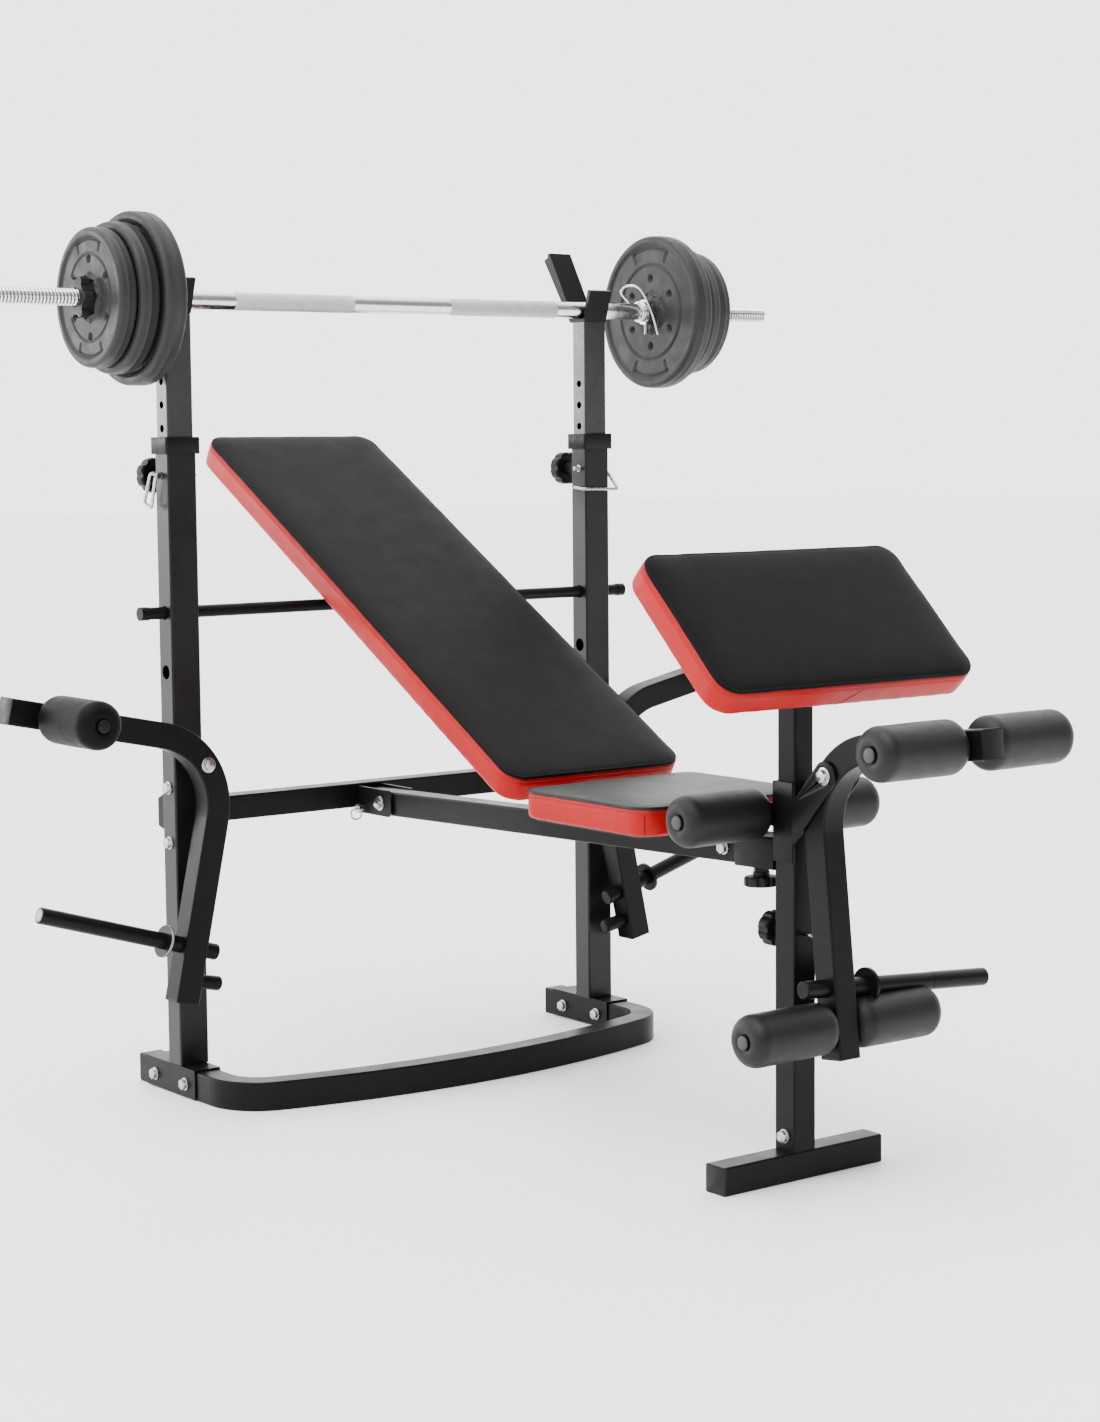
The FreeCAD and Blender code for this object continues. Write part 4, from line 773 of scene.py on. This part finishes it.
# ------------------------------------------------------------------ foam rollers
def foam_roller(name, low, high, body, seed, material):
    """Foam sleeve with soft rounded ends, a hub hollow and a slightly uneven skin."""
    size = high - low
    axis_index = max(range(3), key=lambda a: size[a])
    axis = (X, Y, Z)[axis_index]
    radius = min(size) / 2
    length = size[axis_index]
    start = (low + high) / 2 - axis * (length / 2)
    bulge, hub = 0.019, 0.0098
    end = [(0.004, hub), (0.0005, hub + 0.003), (0.0, hub + 0.007)]
    for k in range(1, 9):
        angle = math.radians(90 * k / 8)
        end.append((bulge * (1 - math.cos(angle)), radius - bulge + bulge * math.sin(angle)))
    steps = 22
    middle = [(bulge + (length - 2 * bulge) * k / steps, radius) for k in range(1, steps)]
    profile = end + middle + [(length - along, r) for along, r in reversed(end)]

    def uneven(along, r, angle):
        """Small swells in the foam's skin, none near the hub."""
        place = Vector((along * 14, math.cos(angle) * 1.2, math.sin(angle) * 1.2 + seed))
        return 0.0007 * noise.noise(place) if r > radius * 0.6 else 0.0

    mesh = lathe(profile, 72, start, axis, uneven)
    piece = add_object(name, mesh, body, [material])
    return piece


def hub_disc(name, centre, axis, body, material):
    """Domed cap pressed on a roller rod's end; axis points away from the roller."""
    profile = [(-0.003, 0.0085), (0.0006, 0.0096), (0.0018, 0.0092), (0.0024, 0.0078), (0.0026, POINT)]
    mesh = lathe(profile, 40, centre, axis)
    return add_object(name, mesh, body, [material])


def add_rollers():
    """Foam sleeves and hub discs on the knee, lever and arm rods."""
    jobs = (("knee_rollers", "frame"), ("lever_rollers", "lever"),
            ("left_arm_roller", "left_arm_body"), ("right_arm_roller", "right_arm_body"))
    for node, body in jobs:
        pieces = []
        for number, (low, high) in enumerate(lumps(node)):
            name = f"{node}_foam_{number + 1}"
            size = high - low
            if size.x > size.y:
                outward, foam, material = X if (low.x + high.x) > 0 else -X, FOAM, HUB
            else:
                outward, foam, material = -Y, MATT_FOAM, PLASTIC
            pieces.append(foam_roller(name, low, high, body, number * 3.1 + len(node), foam))
            reach = max(size) / 2 + 0.0002
            hub_disc(f"{node}_hub_{number + 1}", (low + high) / 2 + outward * reach, outward, body,
                     material)
        for piece in pieces:
            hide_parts(node)


# ------------------------------------------------------------------ barbell
GRIPS = ((0.30, 0.44), (0.56, 0.70))        # knurled stretches, as shares of the bar's length
THREAD_PITCH, THREAD_DEPTH = 0.0058, 0.0026
GROOVE_SHARE = 0.11                         # squared half width of the part of each groove painted dark as shade
BAR_SEGMENTS = 48
# Material indices of the bar: chrome, knurl, and the thread grooves' painted shade.
SHINY, KNURLED, SHADE_PAINTED = 0, 1, 2


def bar_rows(length):
    """Places along the bar that get a ring of points: close in the threads, and at the grips' edges."""
    rows = []
    along = 0.0
    while along < BAR_THREAD:
        rows.append(along)
        along += THREAD_PITCH / 8
    rows += [BAR_THREAD, BAR_THREAD + 0.001, BAR_THREAD + 0.003]
    for share in (share for grip in GRIPS for share in grip):
        rows += [length * share - 0.0008, length * share, length * share + 0.0008]
    rows += [length - r for r in rows if r <= BAR_THREAD + 0.003]
    return sorted(set(round(r, 6) for r in rows))


def thread_radius(radius, along, from_end, angle):
    """The helical thread, with a short lead-in at the bar's end."""
    wave = (along / THREAD_PITCH - angle / TURN) % 1.0
    r = radius - 0.0008 - THREAD_DEPTH * (0.5 + 0.5 * math.cos(TURN * wave)) ** 0.7
    return r - max(0.0, 0.002 - from_end) * 1.2


def add_bar():
    """Chromed bar with knurled grips and threaded ends."""
    low, high = Vector(bar_low), Vector(bar_high)
    radius, length = (high.z - low.z) / 2, high.x - low.x
    rows = bar_rows(length)
    segments = BAR_SEGMENTS
    verts, faces, kinds = [], [], []
    for along in rows:
        from_end = min(along, length - along)
        for k in range(segments):
            angle = TURN * k / segments
            r = thread_radius(radius, along, from_end, angle) if from_end < BAR_THREAD else radius
            verts.append(Vector((low.x + along, BAR_CENTRE.y + r * math.cos(angle),
                                 BAR_CENTRE.z + r * math.sin(angle))))
    for i in range(len(rows) - 1):
        middle = (rows[i] + rows[i + 1]) / 2
        knurled = any(length * a < middle < length * b for a, b in GRIPS)
        in_thread = min(middle, length - middle) < BAR_THREAD
        for k in range(segments):
            a, b = i * segments + k, i * segments + (k + 1) % segments
            faces.append((a, b, b + segments, a + segments))
            phase = (middle / THREAD_PITCH - (k + 0.5) / segments) % 1.0 - 0.5
            groove = in_thread and phase ** 2 > GROOVE_SHARE
            # Groove bottoms take the dark thread material, a painted shade.
            kinds.append(SHADE_PAINTED if groove else KNURLED if knurled else SHINY)
    faces.append(tuple(reversed(range(segments))))
    faces.append(tuple(range((len(rows) - 1) * segments, len(rows) * segments)))
    kinds += [SHINY, SHINY]
    mesh = bpy.data.meshes.new("bar")
    mesh.from_pydata(verts, [], faces)
    add_object("bar_chromed", mesh, "barbell", [CHROME, KNURL, THREAD_SHADE], replaces=("bar",))
    for poly, kind in zip(mesh.polygons, kinds):
        poly.material_index = kind
    mesh.polygons[-1].use_smooth = False
    mesh.polygons[-2].use_smooth = False


RELIEF = 0.004                              # how far rim and hub stand over the web
RIM_BAND, RIM_SLOPE = 0.016, 0.004
HUB_RADIUS, HUB_SLOPE = 0.036, 0.003
RING_AT, RING_HALF, RING_DEPTH = 0.62, 0.0016, 0.0026
TEETH_AT, TEETH_SWING, TEETH_HALF, TEETH_HEIGHT = 0.029, 0.007, 0.0022, 0.0025
DIMPLE_AT, DIMPLE_RADIUS, DIMPLE_SLOPE, DIMPLE_DEPTH = 0.058, 0.0062, 0.0012, 0.006
BRACKET_TURN, BRACKET_IN, BRACKET_OUT, BRACKET_DEPTH = 0.42, 0.7, 0.84, 0.003
DISC_BORE, DISC_EDGE = 0.0146, 0.007
DISC_RINGS, DISC_SEGMENTS = 52, 180


def disc_relief(r, angle, big):
    """Height of a disc's face over its web: rim, hub with teeth, ring, round dimples and bracket grooves."""
    rim_in = big - RIM_BAND
    height = 0.0
    if r > rim_in:
        height = RELIEF * min(1.0, (r - rim_in) / RIM_SLOPE)
    if r < HUB_RADIUS:
        height = RELIEF * min(1.0, (HUB_RADIUS - r) / HUB_SLOPE)
    if abs(r - RING_AT * big) < RING_HALF:
        height -= RING_DEPTH
    teeth = abs((angle * 8 / math.pi) % 2 - 1)
    if abs(r - TEETH_AT - TEETH_SWING * teeth) < TEETH_HALF:
        height += TEETH_HEIGHT
    for k in range(6):
        at = math.radians(60 * k + 30)
        dx = r * math.cos(angle) - DIMPLE_AT * math.cos(at)
        dy = r * math.sin(angle) - DIMPLE_AT * math.sin(at)
        away = math.hypot(dx, dy)
        if away < DIMPLE_RADIUS:
            height -= DIMPLE_DEPTH * min(1.0, (DIMPLE_RADIUS - away) / DIMPLE_SLOPE)
    for k in range(2):
        at = math.radians(180 * k + 90)
        turn = abs((angle - at + math.pi) % TURN - math.pi)
        if abs(turn - BRACKET_TURN) < 0.02 and BRACKET_IN * big < r < BRACKET_OUT * big:
            height -= BRACKET_DEPTH
        if turn < BRACKET_TURN and abs(r - BRACKET_OUT * big) < RING_HALF:
            height -= BRACKET_DEPTH
    return height


def weight_disc(name, low, high, replaces):
    """Vinyl disc: rolled rim with a moulding line, relief on both faces, and a bore."""
    big = (high.z - low.z) / 2
    width = high.x - low.x
    centre = Vector((low.x, BAR_CENTRE.y, BAR_CENTRE.z))
    bore, edge = DISC_BORE, DISC_EDGE
    lip = bore + 0.0008
    face = [lip + (big - edge - lip) * k / DISC_RINGS for k in range(DISC_RINGS + 1)]
    quarter = [math.radians(90 * k / 6) for k in range(1, 7)]
    profile = [("bore", 0.004, bore)] + [("low", 0.0, r) for r in face]
    profile += [("rim", edge - edge * math.cos(a), big - edge + edge * math.sin(a)) for a in quarter]
    profile += [("rim", width * 0.485, big), ("rim", width * 0.495, big + 0.0003),
                ("rim", width * 0.505, big + 0.0003), ("rim", width * 0.515, big)]
    profile += [("rim", width - edge + edge * math.cos(a), big - edge + edge * math.sin(a))
                for a in reversed(quarter)]
    profile += [("high", width, r) for r in reversed(face)] + [("bore", width - 0.004, bore)]
    segments = DISC_SEGMENTS
    verts, faces = [], []
    for kind, along, r in profile:
        for k in range(segments):
            angle = TURN * k / segments
            shift = 0.0
            if kind in ("low", "high"):
                lift = disc_relief(r, angle, big) - RELIEF
                shift = lift if kind == "high" else -lift
            verts.append(centre + Vector((along + shift, r * math.cos(angle), r * math.sin(angle))))
    rows = len(profile)
    for i in range(rows):
        n = (i + 1) % rows
        for k in range(segments):
            m = (k + 1) % segments
            faces.append((i * segments + k, n * segments + k, n * segments + m, i * segments + m))
    mesh = bpy.data.meshes.new(name)
    mesh.from_pydata(verts, [], faces)
    add_object(name, mesh, "barbell", [VINYL], replaces=replaces)


def add_discs():
    """Three discs at each end of the bar, the largest nearest the middle."""
    for node in ("large_discs", "medium_discs", "small_discs"):
        for side, (low, high) in zip(("left", "right"), lumps(node)):
            weight_disc(f"{side}_{node[:-1]}", low, high, (node,))


def smooth_path(points, steps):
    """Catmull-Rom curve through the points."""
    path = []
    padded = [points[0]] + list(points) + [points[-1]]
    for a, b, c, d in zip(padded, padded[1:], padded[2:], padded[3:]):
        for k in range(steps):
            t = k / steps
            path.append(0.5 * (2 * b + (c - a) * t + (2 * a - 5 * b + 4 * c - d) * t ** 2
                               + (3 * b - a - 3 * c + d) * t ** 3))
    path.append(points[-1])
    return path


def bent_wire(name, path, radius, body):
    """Round chromed wire with flat ends along a path."""
    segments = 14
    count = len(path)
    verts, faces = [], []
    side = Y
    for k, place in enumerate(path):
        along = (path[min(k + 1, count - 1)] - path[max(k - 1, 0)]).normalized()
        side = (side - along * side.dot(along)).normalized()
        other = along.cross(side)
        for j in range(segments):
            angle = TURN * j / segments
            verts.append(place + (side * math.cos(angle) + other * math.sin(angle)) * radius)
    for k in range(count - 1):
        for j in range(segments):
            n = (j + 1) % segments
            a, b = k * segments, (k + 1) * segments
            faces.append((a + j, a + n, b + n, b + j))
    faces.append(tuple(reversed(range(segments))))
    faces.append(tuple(range((count - 1) * segments, count * segments)))
    mesh = bpy.data.meshes.new(name)
    mesh.from_pydata(verts, [], faces)
    add_object(name, mesh, body, [CHROME])


def add_spring_clip():
    """Chromed spring clip inside the right-hand discs: coils round the bar and a big bent handle."""
    rings = [low for low, high in lumps("inner_collars") if (high - low).y > 2 * BAR_RADIUS]
    low = rings[1]
    wire, pitch = 0.0021, 0.0044
    coil = BAR_RADIUS + 0.0024
    start = low.x - 0.004
    points = []
    for k in range(22):
        angle = TURN * k / 12 - 0.6
        points.append(Vector((start - pitch * k / 12, math.cos(angle) * coil, math.sin(angle) * coil)))
    end = points[-1].x
    for along, toward, up in ((-0.012, 0.012, 0.018), (-0.03, 0.008, 0.034), (-0.024, -0.006, 0.044),
                              (-0.008, -0.02, 0.036), (0.008, -0.03, -0.004), (0.016, -0.036, -0.04)):
        points.append(Vector((end + along, toward, up)))
    centre = Vector((0, BAR_CENTRE.y, BAR_CENTRE.z))
    path = smooth_path([p + centre for p in points], 5)
    bent_wire("right_spring_clip", path, wire, "barbell")


# ------------------------------------------------------------------ pegs
def peg_trims():
    """Bare steel where the paint has worn on each weight peg's end face, and a painted highlight as a light
    steel band on the left arm's flange rim.
    """
    mounts = {row["name"]: row for row in frame["record"]["mounts"]}
    for node, mount, body in (("lever_peg", "lever_plate_peg", "lever"),
                              ("left_arm_peg", "left_plate_peg", "left_arm_body"),
                              ("right_arm_peg", "right_plate_peg", "right_arm_body")):
        axis = Vector(mounts[mount]["axis"]).normalized()
        origin = Vector(mounts[mount]["pos_m"])
        radius = mounts[mount]["dims"]["r_mm"] * MM
        offsets = [v.co - origin for v in NODES[node].data.vertices]
        points = [(p.dot(axis), p.cross(axis).length) for p in offsets]
        reach = max(along for along, away in points if away < radius * 1.05)
        face = [(-0.0004, radius * 0.8), (0.00025, radius * 0.78), (0.0003, radius * 0.4), (0.0003, POINT)]
        mesh = lathe(face, 40, origin + axis * reach, axis)
        add_object(node + "_end_face", mesh, body, [BARE_STEEL_AND_HIGHLIGHT])
        if node != "left_arm_peg":
            continue
        # The left arm's flange gets a light steel band: a painted highlight along the rim's edge.
        flange = [(along, away) for along, away in points if radius * 1.5 < away < radius * 2.1]
        near, far = min(flange)[0], max(flange)[0]
        rim = max(away for along, away in flange)
        mid = (near + far) / 2
        half = (far - near) / 2 - 0.0006
        band = [(-half, rim - 0.001), (-half, rim + 0.0002), (half, rim + 0.0002), (half, rim - 0.001)]
        mesh = lathe(band, 56, origin + axis * mid, axis)
        add_object(node + "_flange_rim", mesh, body, [BARE_STEEL_AND_HIGHLIGHT])


# ------------------------------------------------------------------ CAD nodes that stay
SMALL_PARTS = ("post_brackets", "mast_collars", "bench_bolts", "frame_bolts", "pivot_bolts",
               "hinge_bolt", "tube_end_caps", "lever_caps", "left_arm_caps", "right_arm_caps")
BEVEL = {"black_paint": 0.0012, "chrome": 0.0005, "black_plastic": 0.001}


def dress(node, slot):
    """Give a CAD node its material, and a small part a fine bevel on its sharp edges."""
    piece = NODES[node]
    piece.data.materials.clear()
    piece.data.materials.append(SPECIAL.get(node, CAD_MATERIAL[slot]))
    if node not in SMALL_PARTS:
        return
    for poly in piece.data.polygons:
        poly.use_smooth = True
    weld = piece.modifiers.new("weld", "WELD")
    weld.merge_threshold = 0.00002
    bevel = piece.modifiers.new("bevel", "BEVEL")
    bevel.width = BEVEL[slot]
    bevel.segments = 2
    bevel.limit_method = "ANGLE"
    bevel.angle_limit = math.radians(50)
    bevel.harden_normals = True


bar_low, bar_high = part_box("bar")
BAR_CENTRE = (Vector(bar_low) + Vector(bar_high)) / 2
BAR_RADIUS = (Vector(bar_high) - Vector(bar_low)).z / 2
BAR_THREAD = (Vector(bar_high) - Vector(bar_low)).x * 0.15

PAINT = paint_material("black_powder_coat", 0.35, 0.1)
MAST_PAINT = paint_material("glossy_mast_paint", 0.3, 0.65)
POST_PAINT = paint_material("post_paint", 0.32, 0.26)
PLASTIC = plastic_material()
ZINC = zinc_material()
CHROME = chrome_material()
KNURL = knurl_material()
THREAD_SHADE = thread_shade_material()
BARE_STEEL_AND_HIGHLIGHT = bare_steel_and_highlight_material()
BLACK_LEATHER = leather_material("black_leather", (0.003, 0.003, 0.0035), (0.0048, 0.0048, 0.0052),
                                 0.5, 0.045)
# The seat's leather is the black leather made lighter and glossier: the lighter colour is a painted sheen on
# the seat top.
SEAT_SHEEN_LEATHER = leather_material("seat_sheen_leather", (0.004, 0.004, 0.0045), (0.0065, 0.0065, 0.007),
                                0.42, 0.22)
RED_LEATHER = leather_material("red_leather", (0.29, 0.0012, 0.0022), (0.37, 0.0018, 0.003), 0.4, 0.14)
# Darker red of the seam lines: painted shade in the creases along the seams.
SEAM_SHADE_RED = leather_material("seam_shade_red", (0.1, 0.001, 0.0015), (0.15, 0.0015, 0.002), 0.45, 0.15)
RED_THREAD = thread_material("red_thread", (0.3, 0.004, 0.006))
DUST_CLOTH = cloth_material()
FOAM = foam_material("black_foam", 0.24)
MATT_FOAM = foam_material("matt_black_foam", 0.05)
HUB = hub_material()
VINYL = vinyl_material("grey_vinyl", (0.015, 0.015, 0.0165), (0.024, 0.024, 0.026))
COLLAR = vinyl_material("dark_grey_vinyl", (0.007, 0.007, 0.0075), (0.012, 0.012, 0.013))

SPECIAL = {"star_collars": COLLAR, "left_mast": MAST_PAINT, "right_mast": MAST_PAINT,
           "left_upright": POST_PAINT, "right_upright": POST_PAINT}
CAD_MATERIAL = {"black_paint": PAINT, "chrome": ZINC, "black_plastic": PLASTIC, "pad_board": DUST_CLOTH,
                "foam": FOAM, "pad_leather": BLACK_LEATHER, "grey_vinyl": VINYL}


def main():
    """Build the whole scene."""
    add_camera()
    add_studio()
    slots = {row["node"]: row["material_slot"] for row in frame["record"]["subparts"]}
    for node in NODES:
        dress(node, slots[node])
    # Seat cushion in the lighter leather, whose colour paints the seat top's sheen.
    make_pad("seat_pad", "frame", 1.0, SEAT_SHEEN_LEATHER)
    make_pad("backrest_pad", "backrest", 2.0, BLACK_LEATHER)
    make_pad("preacher_pad", "preacher", 3.0, BLACK_LEATHER)
    add_rollers()
    add_bar()
    add_discs()
    add_spring_clip()
    peg_trims()


main()
